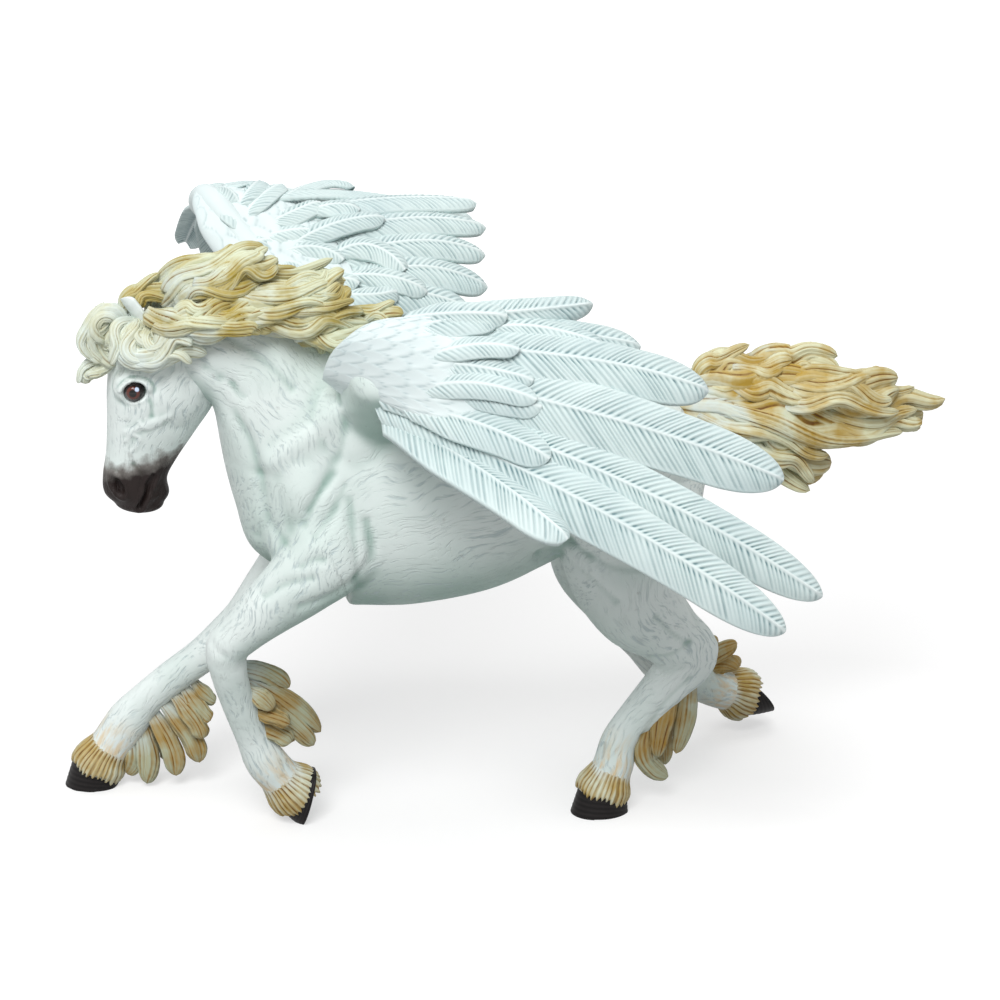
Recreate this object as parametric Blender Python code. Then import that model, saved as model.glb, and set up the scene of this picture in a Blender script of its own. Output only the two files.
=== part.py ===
"""Winged horse figurine at a gallop, one solid moulded piece.

Frame: +X runs from the head to the tail, +Y away from the near side, +Z up,
with the floor under the hooves at z = 0 and the origin under the middle of the
figure. The stations below are in millimetres on the drawing, whose own floor
lies at FLOOR_LEVEL.
"""
import math

import bmesh
import bpy
import numpy as np
from mathutils import Vector

MM = 0.001

# Driving dimensions, in metres
SURFACE_STEP = 0.0008
BARREL_HALF_WIDTH = 0.0195
NECK_HALF_WIDTH = 0.0155
HEAD_HALF_WIDTH = 0.0090
THIGH_HALF_WIDTH = 0.0095
FOREARM_HALF_WIDTH = 0.0075
CANNON_HALF_WIDTH = 0.0036
HOOF_HALF_WIDTH = 0.0058
EYE_RADIUS = 0.0024
EYE_SPACING = 0.0146
EAR_HALF_WIDTH = 0.0024
EAR_THICKNESS = 0.0024
PRIMARY_HALF_WIDTH = 0.0062
FEATHER_THICKNESS = 0.0021
COVERT_THICKNESS = 0.0019
FEATHER_CAMBER = 0.0011
COVERT_CAMBER = 0.0007
WING_ARM_RADIUS = 0.0034
LEAF_THICKNESS = 0.0021
LOCK_FLATNESS = 0.72
FLOOR_LEVEL = 0.0017
TAIL_LENGTH = 0.0715
NEAR_WING_REACH = 0.0510
FAR_WING_REACH = 0.0760
FAR_WING_RISE = 0.0250
CENTRE_SHIFT_X = -0.00455
CENTRE_SHIFT_Y = -0.0074

WING_TILT = 0.06
LEADING_VANE = 0.86
TRAILING_VANE = 1.1
CORONET_SHARE = 0.88
DOCK_X = 36
LEAF_CAMBER = 0.3
FACE_BUDGET = 11600
EASE_ROUNDS = 8

# Barrel stations: x, centre z, half height, half width as a share of the barrel's
BARREL = (
    (-52.5, 75, 8, 0.4), (-47.5, 79, 19.5, 0.72), (-41, 81.5, 26.5, 0.86), (-32, 81.8, 27.4, 0.95),
    (-20, 79.8, 26.4, 0.98), (-8, 79, 23.9, 1.0), (3, 80.8, 21.4, 0.98), (14, 83.4, 19.1, 0.93),
    (26, 84.8, 18.6, 0.9), (36, 85.5, 15.5, 0.76), (42, 85, 10.5, 0.5),
)
# Neck stations: under point x and z, crest point x and z, half width as a share
NECK = (
    (-48, 62, -24, 104, 1.0), (-57.3, 70, -33.5, 112.5, 0.98), (-60.3, 79.8, -41, 118.5, 0.84),
    (-62.2, 88, -49.2, 124.5, 0.74), (-63.2, 94.5, -57.8, 127.5, 0.66), (-63.9, 100.5, -66.5, 126.5, 0.6),
    (-65.2, 104.5, -72.7, 123.8, 0.56),
)
# Head stations from poll to lips: face point x and z, jaw point x and z, half width
# as a share, and how much wider the face side is than the jaw side
HEAD = (
    (-77, 126, -69, 122, 0.6, 0.0), (-82.4, 122.8, -66, 116, 0.85, 0.05),
    (-86, 117, -64.4, 108, 0.98, 0.12), (-87.3, 109.5, -64.5, 104, 1.0, 0.2),
    (-87.7, 101.6, -68.5, 98.3, 0.84, 0.15), (-88.2, 94.8, -72.7, 92.5, 0.68, 0.08),
    (-89.2, 89.2, -75.2, 88.1, 0.62, 0.0), (-89.1, 85.3, -74.9, 84.4, 0.58, 0.0),
    (-87, 82.8, -76.2, 82.2, 0.45, 0.0),
)
# Leg stations: x, y, z, half depth, half width as a share of the thigh or forearm in
# the upper half of the rows, and of the cannon in the lower half
NEAR_HIND = (
    (29, -7, 84, 18, 0.95), (27, -11.5, 73, 16.5, 1.00), (26, -13.5, 63, 14.2, 0.89),
    (29.2, -14.5, 53, 11, 0.74), (36, -14, 45.7, 8, 0.59), (41.8, -13.5, 39.2, 6.8, 0.51),
    (36.8, -13, 32.8, 5.6, 1.17), (30, -12.5, 25, 4.7, 1.06), (25.7, -12, 18.9, 4.5, 1.08),
    (24.4, -12, 13.4, 4.9, 1.22), (22.8, -12, 9.5, 5, 1.28), (21.6, -12, 6.5, 6.2, 1.50),
)
FAR_HIND = (
    (33, 7, 80, 17, 0.95), (29.5, 11, 65.5, 14.2, 0.95), (27, 13, 55.4, 11.4, 0.84),
    (31.8, 13, 44.7, 8.5, 0.68), (39.3, 12, 34.1, 6.5, 0.53), (45.4, 14, 26, 6.2, 1.28),
    (54.1, 19, 18.4, 4.9, 1.11), (60.6, 22, 14.3, 4.9, 1.19), (64.8, 23.5, 12.5, 5.2, 1.28),
    (68, 24.5, 10.9, 6, 1.47),
)
NEAR_FORE = (
    (-37.4, -9, 81, 12, 1.07), (-41.2, -12.5, 72.4, 10.7, 1.00), (-47.8, -13, 65.9, 8.5, 0.87),
    (-55.8, -11.5, 58.9, 6.6, 0.69), (-61.1, -9.5, 53.5, 5.3, 0.64), (-64.5, -8, 49.3, 4.9, 0.60),
    (-64.1, -6.8, 42.8, 4.2, 1.06), (-62, -4.5, 34.5, 3.9, 0.94), (-58.7, -2, 24.7, 3.9, 0.94),
    (-55.9, -1, 18.2, 4.8, 1.17), (-52.3, 0, 12.9, 4.9, 1.22), (-49.3, 0.8, 9.2, 5.6, 1.39),
)
FAR_FORE = (
    (-36, 9, 78, 13, 1.07), (-38.5, 12, 69.5, 10.5, 1.00), (-43.5, 15, 60.5, 9, 0.93),
    (-51, 19, 50.5, 6.8, 0.80), (-56.1, 21.5, 44.4, 5.2, 0.67), (-60, 23, 40.2, 4.8, 0.61),
    (-66.2, 24.5, 34.6, 4.3, 1.11), (-73.5, 26, 29, 4.2, 1.00), (-79.8, 27.5, 23.3, 4.3, 1.00),
    (-83.3, 28.5, 18.9, 5.1, 1.22), (-86.9, 29.8, 13.3, 5.1, 1.28), (-89.6, 30.6, 9.2, 5.2, 1.36),
    (-91.2, 31, 6.3, 6.2, 1.53),
)
# Hooves: coronet centre, sole centre, toe direction, half length at coronet and at sole
HOOVES = (
    ((22, -12, 8.2), (21, -12, 0.2), (-1, -0.08, 0), 5.6, 7.4),
    ((-91.2, 31, 8.2), (-92.6, 31.8, 0.2), (-1, 0.22, 0), 5.5, 6.9),
    ((-49.2, 1, 9.2), (-45.6, 0.6, 7.0), (-0.3, -0.1, -1), 5.6, 7.6),
    ((67, 24.3, 11.3), (72, 25.4, 10.4), (0.62, 0, -0.72), 5.4, 6.9),
)
# Muscle masses: centre, half sizes, lean in the side plane in degrees
MUSCLES = (
    ((-44.5, -9.5, 84), (8.5, 7.5, 14), -20), ((-44.5, 9.5, 84), (8.5, 7.5, 14), -20),
    ((-36, -11, 97), (8, 6, 13), -25), ((-36, 11, 97), (8, 6, 13), -25),
    ((-49.5, -7, 75), (6, 6.5, 8), 0), ((-49.5, 7, 75), (6, 6.5, 8), 0),
    ((31, -9, 87), (12, 8.5, 12.5), 20), ((32, 8, 87), (11, 8.5, 12.5), 20),
    ((-73, -3.4, 110), (7.5, 4.6, 7), 0), ((-73, 3.4, 110), (7.5, 4.6, 7), 0),
    ((-83, -5.4, 110.5), (3.6, 2.8, 4), 0), ((-83, 5.4, 110.5), (3.6, 2.8, 4), 0),
    ((36, 0, 95), (9, 6.5, 5.5), 0),
    ((45.2, -13, 40.8), (3.6, 3, 4), -30), ((48, 13, 27.8), (3.6, 3, 4), -40),
)
EYE_X = -82.3
EYE_Z = 109.9
# Ears: base, middle, tip
EARS = (
    ((-79, -4.5, 121), (-81.5, -5.5, 126.5), (-84, -6, 130)),
    ((-76.5, 5.5, 121), (-75, 7.5, 126.5), (-74, 8.5, 130.5)),
)

# Wing feathers, innermost first: root, middle, tip, half width as a share of a primary's
NEAR_WING = (
    ((-26, -25, 126.8), (-6, -30.5, 128.3), (13.4, -28, 128.3), 0.55),
    ((-29, -26, 125), (0.7, -33.5, 124.3), (21.7, -36, 120.5), 0.8),
    ((-31.5, -27, 121.8), (6.2, -41, 120.3), (33.3, -47, 113), 1.02),
    ((-33, -26.5, 117.3), (9, -49, 110.2), (45.9, -60, 96.6), 1.16),
    ((-34, -25.5, 112), (9.6, -55, 98.9), (52, -69, 73.4), 0.96),
    ((-33.5, -24.5, 108.8), (5.1, -59, 93.6), (41.5, -76, 69.3), 1.0),
    ((-32, -24.5, 105.5), (-16, -47, 99.2), (-2, -65, 89.5), 0.95),
)
FAR_WING = (
    ((-34, 15, 113), (-19.6, 25, 119), (-1, 25, 114.2), 0.78),
    ((-38.5, 22, 116.5), (-16.5, 30, 123.6), (4.8, 31, 117.6), 0.78),
    ((-43.5, 29.5, 122), (-16, 35.5, 128.2), (5.6, 36.5, 124), 0.7),
    ((-48.5, 36, 127.5), (-17, 40.5, 132.4), (7.1, 42, 129.3), 0.64),
    ((-53, 41.5, 133), (-21, 46, 136), (6, 47, 134.2), 0.64),
    ((-56, 45.5, 137), (-27, 54, 136.8), (8, 60, 127.5), 0.95),
    ((-57.5, 49.5, 138), (-31, 63.5, 133.8), (7, 74, 119.5), 1.0),
    ((-58, 52.5, 137.5), (-38, 72, 129), (-8, 86, 110), 1.0),
    ((-58, 54, 136.5), (-46, 76, 125), (-30, 91, 104.5), 0.95),
    ((-57.5, 53.5, 136), (-53, 74, 124.5), (-50, 89, 109), 0.85),
    ((-57, 50.5, 137), (-57.5, 68.5, 130), (-58.5, 86, 119.5), 0.7),
)
# Coverts: root, middle and tip, each as a share across the wing and along its feathers,
# then the half width and how high the feather lies over the long ones
NEAR_COVERTS = (
    (0.681, 0.06, 0.514, 0.19, 0.514, 0.35, 3, 2.2),
    (0.431, 0.09, 0.347, 0.21, 0.347, 0.33, 2.7, 2.2),
    (0.34, -0.01, 0.16, 0.13, 0.111, 0.36, 3.9, 1.8),
    (0.757, 0.06, 0.688, 0.22, 0.715, 0.37, 4.6, 1.5),
    (0.181, 0.31, 0.16, 0.5, 0.243, 0.67, 3.2, 1),
    (0.042, -0.01, 0, 0.23, 0.056, 0.44, 3.2, 1.6),
    (0.806, -0.05, 0.667, 0.01, 0.681, 0.06, 3, 2.8),
    (0.597, -0.05, 0.528, 0, 0.5, 0.06, 3, 2.6),
    (0.521, -0.08, 0.417, -0.05, 0.375, 0, 3, 2.7),
    (0.236, -0.09, 0.146, -0.08, 0.028, -0.07, 3, 2.4),
    (0.479, -0.1, 0.333, -0.09, 0.25, -0.04, 3, 2.5),
    (0.972, -0.1, 1, -0.02, 1, 0.1, 2.8, 2.3),
    (0.833, -0.02, 0.826, 0.03, 0.771, 0.1, 3, 2.4),
    (0.528, 0.15, 0.535, 0.25, 0.528, 0.36, 3.4, 1),
    (0.451, 0.11, 0.431, 0.21, 0.444, 0.35, 3.2, 1.2),
    (0.694, -0.07, 0.875, -0.07, 0.924, -0.04, 2.6, 2.6),
)
FAR_COVERTS = (
    (0.275, 0.09, 0.3, 0.28, 0.296, 0.48, 3.1, 1.9),
    (0.204, 0.2, 0.196, 0.36, 0.079, 0.53, 3.4, 1.5),
    (0.125, 0.23, 0.054, 0.47, 0, 0.74, 3.2, 1.2),
    (0.263, 0.01, 0.25, 0.14, 0.175, 0.23, 3, 1.9),
    (0.325, -0.01, 0.321, 0.08, 0.308, 0.19, 3, 2.1),
    (0.446, 0.25, 0.512, 0.46, 0.483, 0.56, 3, 1.7),
    (0.388, 0.02, 0.442, 0.13, 0.5, 0.29, 3.2, 2.2),
    (0.087, 0.14, 0.008, 0.34, 0, 0.53, 2.8, 1.5),
    (0.354, 0.06, 0.371, 0.17, 0.4, 0.32, 3.2, 1.6),
    (0.321, -0.03, 0.312, 0.01, 0.312, 0.04, 2.8, 2.5),
    (0.454, 0, 0.4, 0, 0.362, 0.01, 2.7, 2.55),
    (0.554, 0.01, 0.504, 0.05, 0.438, 0.05, 2.7, 2.55),
    (0.554, 0.05, 0.554, 0.14, 0.554, 0.21, 2.8, 2.3),
    (0.429, 0.03, 0.492, 0.15, 0.554, 0.25, 2.8, 2),
    (0.142, 0.1, 0.117, 0.18, 0.079, 0.25, 2.6, 2),
    (0.371, 0.24, 0.375, 0.35, 0.346, 0.42, 3, 1.4),
    (0.25, -0.01, 0.229, 0.05, 0.188, 0.08, 2.8, 2.2),
    (0.138, 0, 0.113, 0.09, 0.05, 0.18, 2.6, 1.8),
    (0.62, 0.08, 0.62, 0.29, 0.62, 0.5, 3.4, 1),
    (0.72, 0.08, 0.72, 0.29, 0.72, 0.5, 3.4, 1),
    (0.82, 0.08, 0.82, 0.29, 0.82, 0.5, 3.4, 1),
    (0.92, 0.08, 0.92, 0.29, 0.92, 0.5, 3.4, 1),
    (0.6, 0.02, 0.6, 0.16, 0.6, 0.3, 3, 1.8),
    (0.68, 0.02, 0.68, 0.16, 0.68, 0.3, 3, 1.8),
    (0.77, 0.02, 0.77, 0.16, 0.77, 0.3, 3, 1.8),
    (0.86, 0.02, 0.86, 0.16, 0.86, 0.3, 3, 1.8),
    (0.95, 0.02, 0.95, 0.16, 0.95, 0.3, 3, 1.8),
    (0.62, -0.06, 0.62, 0.02, 0.62, 0.1, 2.8, 2.3),
    (0.72, -0.06, 0.72, 0.02, 0.72, 0.1, 2.8, 2.3),
    (0.82, -0.06, 0.82, 0.02, 0.82, 0.1, 2.8, 2.3),
    (0.92, -0.06, 0.92, 0.02, 0.92, 0.1, 2.8, 2.3),
)
# Section through the pad that the feathers grow from: share along the long feathers and
# height over them
SHOULDER_SECTION = (
    (0.26, 0.3), (0.2, 1.4), (0.13, 2.1), (0.05, 2.5), (-0.02, 2.5), (-0.07, 2.0), (-0.1, 0.9),
    (-0.1, -0.5), (-0.06, -1.6), (0.03, -1.8), (0.13, -1.3), (0.22, -0.6),
)

# Hair locks: half width, then the points that the lock follows from root to tip
MANE = (
    (3.2, (-77, 0, 123), (-75.5, 0, 129), (-71, -2, 133), (-65, -3, 135), (-60, -2, 136), (-55.5, 0, 137.5)),
    (3.0, (-74, -4, 127), (-71, -5, 131.5), (-64, -6, 134.5), (-57, -5, 135.5), (-51.5, -4, 134)),
    (2.8, (-71.5, -6, 128), (-68.5, -8, 131.5), (-63, -9, 132.5), (-58, -8, 133.5), (-52.5, -6, 133.5)),
    (3.4, (-67.5, -4, 128), (-61.5, -5, 130), (-55, -5, 130.5), (-47.5, -4, 130.5), (-35, -1, 130.5)),
    (3.2, (-63, -6, 126), (-56, -8, 128.5), (-48.5, -9, 129.5), (-42.5, -8, 129.5), (-36, -6, 130)),
    (3.0, (-70, -8, 125), (-63.5, -10, 127.5), (-56.5, -11, 127.5), (-49, -11, 128.5), (-42, -10, 128.5),
     (-37, -7, 126)),
    (3.0, (-79, -8, 126.5), (-75, -10, 125.5), (-70.5, -11, 125.5), (-66.5, -12, 127), (-59, -10, 129)),
    (3.0, (-72.5, -10, 124.5), (-67, -12, 124), (-62, -12.5, 125), (-57, -12, 126), (-52.5, -12, 123)),
    (3.4, (-60.5, -9, 124), (-53.5, -10, 125.5), (-46.5, -11, 124), (-41, -11, 125), (-31, -8, 121.5)),
    (3.2, (-53.5, -8, 123), (-48, -10, 122), (-43, -11, 121), (-38, -11, 121.5), (-32, -9, 121)),
    (2.2, (-40, -4, 121), (-33, -6, 123), (-28.5, -8, 123.5), (-24, -10, 123.5)),
    (2.4, (-82.5, -2, 124), (-82, -3, 128), (-80, -3, 129.5), (-77, -3, 130.5), (-73, -2, 131)),
    (3.0, (-74, 3, 123), (-68.5, 5, 128), (-61, 7, 130.5), (-54.5, 8, 130.5), (-47.5, 8, 128.5),
     (-41.5, 6, 127.5)),
    (3.2, (-70.5, 4, 121), (-61, 8, 124.5), (-50.5, 9, 124), (-40, 8, 122.5), (-33, 6, 120)),
    (3.0, (-64, 6, 119), (-54.5, 10, 120), (-45, 11, 118.5), (-36, 10, 116.5), (-31, 8, 115)),
    (3.4, (-60, -2, 122), (-52.5, -2, 123), (-45.5, -3, 119.5), (-41, -4, 117.5), (-38, -5, 115)),
    (3.6, (-66, 0, 122), (-58, 0, 127), (-50, 0, 127), (-42, 0, 124), (-34, 0, 118)),
)
FORELOCK = (
    (2.4, (-82, -3, 122), (-85, -4, 126), (-88, -4, 126.2), (-90.3, -4, 124.2), (-90.8, -4, 121.5),
     (-90, -4, 119), (-87.5, -3, 116)),
    (3.0, (-81.5, -2, 123.5), (-86, -3, 123.8), (-88.2, -3, 121.5), (-88.5, -3, 118.5), (-85.5, -4, 115)),
    (1.9, (-84.5, -3, 117), (-87.5, -3, 115), (-90, -3, 114.4), (-92.2, -3, 113.3), (-92, -3, 111)),
    (2.4, (-84, -6, 121.5), (-84.5, -8.5, 118.5), (-82.5, -9.5, 117.3), (-79, -10.5, 118.2),
     (-76.5, -10.8, 120), (-74, -11, 123), (-70.5, -11, 123.5), (-67, -11, 122)),
    (2.2, (-83, -8, 119), (-80, -9.5, 117), (-77, -10.5, 118), (-72, -11, 119.5), (-67, -10.5, 117.5)),
    (2.6, (-81, -4, 124.5), (-84, -6.5, 122.5), (-85, -7.5, 119.5), (-84.5, -7.5, 117.5)),
    (2.6, (-79.5, -5, 125), (-81.5, -7.5, 122.5), (-81, -8.5, 119.5), (-76.5, -9.5, 120.5)),
    (2.4, (-77.5, -6, 125), (-78, -8.5, 122), (-76.5, -9.5, 121.5), (-73.5, -10, 122.5)),
    (2.4, (-79.5, 2, 122.5), (-83.5, 3, 121.5), (-86.5, 3, 119), (-85.8, 1, 114)),
    (2.4, (-76.5, 5, 121.5), (-79, 8, 117.5), (-80, 8.5, 113.5), (-77.5, 8, 111)),
)
TAIL = (
    (2.4, (37, 0, 100), (38.5, -1, 103.5), (41, -2, 105), (44, -2, 103), (48, -1, 100)),
    (4.6, (34, 1, 97), (42.5, 0, 99.5), (47.5, -1, 102), (49.5, -2, 105), (52.5, -2, 105.5), (66, -2, 103.5)),
    (4.4, (46, 2, 99), (56.5, 1, 101.5), (62, 0, 102.5), (67.5, -1, 103.5), (72, -2, 104.5), (78, -5, 100.5)),
    (4.2, (42, -2, 99), (51, -4, 101), (58.5, -5, 101.5), (64, -6, 101), (73.5, -7, 102)),
    (4.0, (54, -2, 98.5), (65, -5, 99), (71.5, -7, 100), (79, -7, 100), (86.5, -6, 99), (93.5, -4, 100)),
    (4.0, (56, -4, 97.5), (67, -7, 98), (74.5, -9, 98.5), (82.5, -8, 96.5), (94, -5, 96)),
    (3.8, (50, 0, 97), (63.5, -3, 95.5), (74.5, -5, 94), (86, -4, 93), (94, -2, 93), (107.5, 0, 92.5)),
    (4.2, (38, -2, 97), (48, -5, 96.5), (56, -7, 96), (63, -8, 95), (74.5, -7, 90), (84.5, -6, 88.5),
     (92.5, -4, 88.5), (101, -2, 88.5)),
    (4.2, (37, -2, 95.5), (46, -5, 95), (55, -7, 93), (64.5, -7, 90), (72.5, -6, 87.5), (85, -5, 85)),
    (4.4, (38, 0, 94.5), (49, -3, 92), (57, -5, 89), (63, -6, 85), (70, -5, 83), (78.5, -3, 79)),
    (4.0, (40, 2, 94), (52.5, 0, 89), (60.5, -1, 83.5), (66.5, -2, 80), (77.5, -2, 77.5)),
    (4.6, (35, 3, 96.5), (49.5, 5, 96), (62, 6, 95.5), (75, 7, 94.5), (85, 6, 92), (93.5, 4, 90)),
    (4.4, (36, 3, 95.5), (50, 6, 92), (63, 7, 88.5), (75.5, 7, 85), (85, 5, 84)),
    (4.2, (40, 3, 98), (57, 6, 98.5), (67, 6, 99), (80.5, 4, 98)),
    (4.0, (46, 4, 92), (60.5, 5, 85.5), (69.5, 4, 82), (75.5, 3, 79.5)),
    (3.6, (72, 0, 92), (85.5, 0, 90.5), (93.5, 1, 90), (103.5, 3, 88.5)),
    (6.0, (32, 0, 95), (45, 0, 96), (60, 0, 93), (75, 0, 92), (88, -1, 91.5)),
)
# Feathering on the fetlocks: half width, then root, middle and tip of each leaf
FEATHERING = (
    (1.8, (-69, 25, 29), (-66, 24, 25), (-63.5, 24, 22.5)),
    (2.2, (-71, 25, 27.5), (-67.5, 23, 22), (-65, 22, 19)),
    (2.4, (-73.5, 25.5, 26), (-69, 22, 20), (-67, 21, 15)),
    (2.7, (-76, 26, 23.5), (-70.5, 23, 16), (-68, 22, 8.5)),
    (2.6, (-78.5, 27, 21), (-74.5, 24, 12.5), (-73.5, 23.5, 5)),
    (2.7, (-81, 28, 18.5), (-79.5, 26, 10), (-80.3, 25.5, 2.8)),
    (2.3, (-84, 28.5, 16), (-83, 27, 9.5), (-84.5, 28, 4.5)),
    (2.4, (-74, 27, 24.5), (-69.5, 30, 17), (-67.5, 31, 11.5)),
    (2.5, (-78.5, 28.5, 19.5), (-74.5, 31.5, 10), (-74, 32.5, 4.5)),
    (2.3, (-83, 29.5, 16), (-80.5, 32.5, 7.5), (-81, 33.5, 2.5)),
    (2.3, (-63, -4.5, 43), (-55, -2, 40), (-49.5, 0, 35)),
    (2.7, (-62.5, -4, 40.5), (-51.5, -1.5, 32.5), (-42.3, 1.5, 22.5)),
    (2.0, (-61, -5, 37.5), (-57, -6, 35.5), (-54.5, -6, 32.5)),
    (2.5, (-61, -3.5, 36), (-51, -2, 28.5), (-44.2, 0, 20)),
    (2.0, (-59.5, -4, 32), (-54.5, -5, 30.5), (-50.5, -5, 28)),
    (2.2, (-59.5, -3, 29), (-53.5, -3, 25.5), (-50, -3, 22.5)),
    (2.3, (-62, -2, 38.5), (-53, 2.5, 32.5), (-46.8, 4.5, 27)),
    (2.3, (-60, -1.5, 32), (-52.5, 3, 24.5), (-48, 4.5, 19.5)),
    (2.3, (42, -13, 36), (41.5, -13, 25), (39.5, -12, 14)),
    (2.5, (39, -13.5, 32), (35.5, -15, 24), (34.5, -14, 14.5)),
    (2.6, (34, -13, 25.5), (31, -14, 15.5), (37.5, -12.5, 8.5)),
    (2.1, (37, -12, 28), (37, -10, 18.5), (38, -9, 10)),
    (2.2, (39, -12, 32), (39.5, -9, 24), (38.5, -8, 16)),
    (1.8, (52, 16.5, 23), (55.5, 15, 28.5), (58.5, 15, 30)),
    (2.1, (54.5, 18, 21), (59.5, 17, 26), (64, 17, 28)),
    (2.5, (56, 19.5, 19), (60.5, 18.5, 22.5), (65, 18.5, 20.5)),
    (2.2, (57, 21, 18.5), (63, 22, 20.5), (67, 22.5, 19.5)),
    (2.2, (56.5, 22, 18.5), (62, 26, 20), (66.5, 27, 19)),
)


# Cross-section of a blade: share of the half width, share of the half thickness
BLADE_SECTION = ((1, -0.5), (1, 0.5), (0.6, 0.9), (0, 1), (-0.6, 0.9), (-1, 0.5), (-1, -0.5),
                 (-0.6, -0.9), (0, -1), (0.6, -0.9))


def spline(rows, steps):
    """Return points of a Catmull-Rom curve through rows of numbers."""
    rows = np.array(rows, dtype=float)
    ends = np.vstack([2 * rows[0] - rows[1], rows, 2 * rows[-1] - rows[-2]])
    points = []
    for i in range(1, len(ends) - 2):
        before, start, end, after = ends[i - 1:i + 3]
        for k in range(steps):
            t = k / steps
            points.append(0.5 * (2 * start + (end - before) * t
                                 + (2 * before - 5 * start + 4 * end - after) * t ** 2
                                 + (3 * start - before - 3 * end + after) * t ** 3))
    points.append(rows[-1])
    return np.array(points)


def unit(vector):
    """Return the vector at length one."""
    return vector / max(np.linalg.norm(vector), 1e-9)


def tangents(points):
    """Return the unit direction of the curve at each of its points."""
    steps = np.gradient(points, axis=0)
    return steps / np.maximum(np.linalg.norm(steps, axis=1, keepdims=True), 1e-9)


def skin(bm, rings, start, end):
    """Bridge equal rings of points and close both ends on a pole."""
    loops = [[bm.verts.new(p) for p in ring] for ring in rings]
    first = bm.verts.new(start)
    last = bm.verts.new(end)
    count = len(loops[0])
    for low, high in zip(loops, loops[1:]):
        for i in range(count):
            j = (i + 1) % count
            bm.faces.new((low[i], low[j], high[j], high[i]))
    for i in range(count):
        j = (i + 1) % count
        bm.faces.new((first, loops[0][j], loops[0][i]))
        bm.faces.new((last, loops[-1][i], loops[-1][j]))


def loft(bm, stations, side=(0, 1, 0), sides=20, steps=5):
    """Build a rounded body through stations of x, y, z, half depth and half width."""
    rows = spline(stations, steps)
    centres = rows[:, :3]
    rings = []
    for centre, along, (deep, wide) in zip(centres, tangents(centres), np.maximum(rows[:, 3:5], 0.3)):
        across = unit(np.array(side, dtype=float) - np.dot(side, along) * along)
        up = np.cross(along, across)
        rings.append([centre + math.cos(a) * wide * across + math.sin(a) * deep * up
                      for a in np.linspace(0, 2 * math.pi, sides, endpoint=False)])
    caps = []
    for ring, centre, along, size in ((rings[0], centres[0], -tangents(centres)[0], rows[0, 3:5].min()),
                                      (rings[-1], centres[-1], tangents(centres)[-1], rows[-1, 3:5].min())):
        cap = [[centre + (np.array(p) - centre) * math.cos(a) + along * size * 0.7 * math.sin(a) for p in ring]
               for a in (math.pi / 6, math.pi / 3)]
        caps.append((cap, centre + along * size * 0.7))
    rings = caps[0][0][::-1] + rings + caps[1][0]
    skin(bm, rings, caps[0][1], caps[1][1])


def loft_between(bm, stations, sides=24, steps=5):
    """Build a body through stations of two facing points, a half width and a taper."""
    rows = spline(stations, steps)
    rings = []
    for x_low, z_low, x_high, z_high, wide, taper in rows:
        low, high = np.array((x_low, 0, z_low)), np.array((x_high, 0, z_high))
        rings.append([(low + high) / 2 + (low - high) / 2 * math.cos(a)
                      + np.array((0, wide * math.sin(a) * (1 + taper * math.cos(a)), 0))
                      for a in np.linspace(0, 2 * math.pi, sides, endpoint=False)])
    middles = (rows[:, [0, 1]] + rows[:, [2, 3]]) / 2
    ends = []
    for ring, here, inner in ((rings[0], middles[0], middles[1]), (rings[-1], middles[-1], middles[-2])):
        centre = np.array((here[0], 0, here[1]))
        away = unit(centre - np.array((inner[0], 0, inner[1])))
        size = min(np.linalg.norm(np.subtract(ring[0], ring[sides // 2])) / 2, ring[sides // 4][1])
        cap = [[centre + (p - centre) * math.cos(a) + away * size * 0.6 * math.sin(a) for p in ring]
               for a in (math.pi / 6, math.pi / 3)]
        ends.append((cap, centre + away * size * 0.6))
    rings = ends[0][0][::-1] + rings + ends[1][0]
    skin(bm, rings, ends[0][1], ends[1][1])


def ellipsoid(bm, centre, sizes, lean=0.0, sides=18):
    """Build an ellipsoid, leaned in the side plane by an angle in degrees."""
    turn = math.radians(lean)
    rings = []
    for a in np.linspace(-math.pi / 2, math.pi / 2, 11)[1:-1]:
        ring = []
        for b in np.linspace(0, 2 * math.pi, sides, endpoint=False):
            x = sizes[0] * math.cos(a) * math.cos(b)
            y = sizes[1] * math.cos(a) * math.sin(b)
            z = sizes[2] * math.sin(a)
            ring.append(np.array(centre) + (x * math.cos(turn) + z * math.sin(turn), y,
                                            z * math.cos(turn) - x * math.sin(turn)))
        rings.append(ring)
    pole = np.array((sizes[2] * math.sin(turn), 0, sizes[2] * math.cos(turn)))
    skin(bm, rings, np.array(centre) - pole, np.array(centre) + pole)


def arc(root, middle, tip, places):
    """Return points of the parabola through root, middle and tip."""
    root, middle, tip = (np.array(p, dtype=float) for p in (root, middle, tip))
    bend = 2 * middle - (root + tip) / 2
    return np.array([(1 - t) ** 2 * root + 2 * t * (1 - t) * bend + t ** 2 * tip for t in places])


def eased(t):
    """Return a smooth step from nothing to one."""
    t = min(1.0, max(0.0, t))
    return t * t * (3 - 2 * t)


def feather(bm, root, middle, tip, half_width, thickness, face, camber):
    """Build a rounded blade that lies across the face direction."""
    places = np.concatenate([np.linspace(0, 0.84, 9), (0.9, 0.945, 0.975, 0.993)])
    points = arc(root, middle, tip, places)
    rings = []
    for t, point, along in zip(places, points, tangents(points)):
        across = unit(np.cross(along, face))
        out = np.cross(across, along)
        wide = half_width * (0.5 + 0.5 * eased(t / 0.42) - 0.14 * eased((t - 0.5) / 0.4))
        if t > 0.82:
            wide *= math.sqrt(max(0.0, 1 - ((t - 0.82) / 0.18) ** 2))
        ring = []
        for s, h in BLADE_SECTION:
            vane = TRAILING_VANE if s > 0 else LEADING_VANE
            ring.append(point + across * wide * s * vane + out * (thickness / 2 * h - camber * s * s))
        rings.append(ring)
    skin(bm, rings, points[0] - tangents(points)[0] * 0.5, arc(root, middle, tip, (1.0,))[0])


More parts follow.
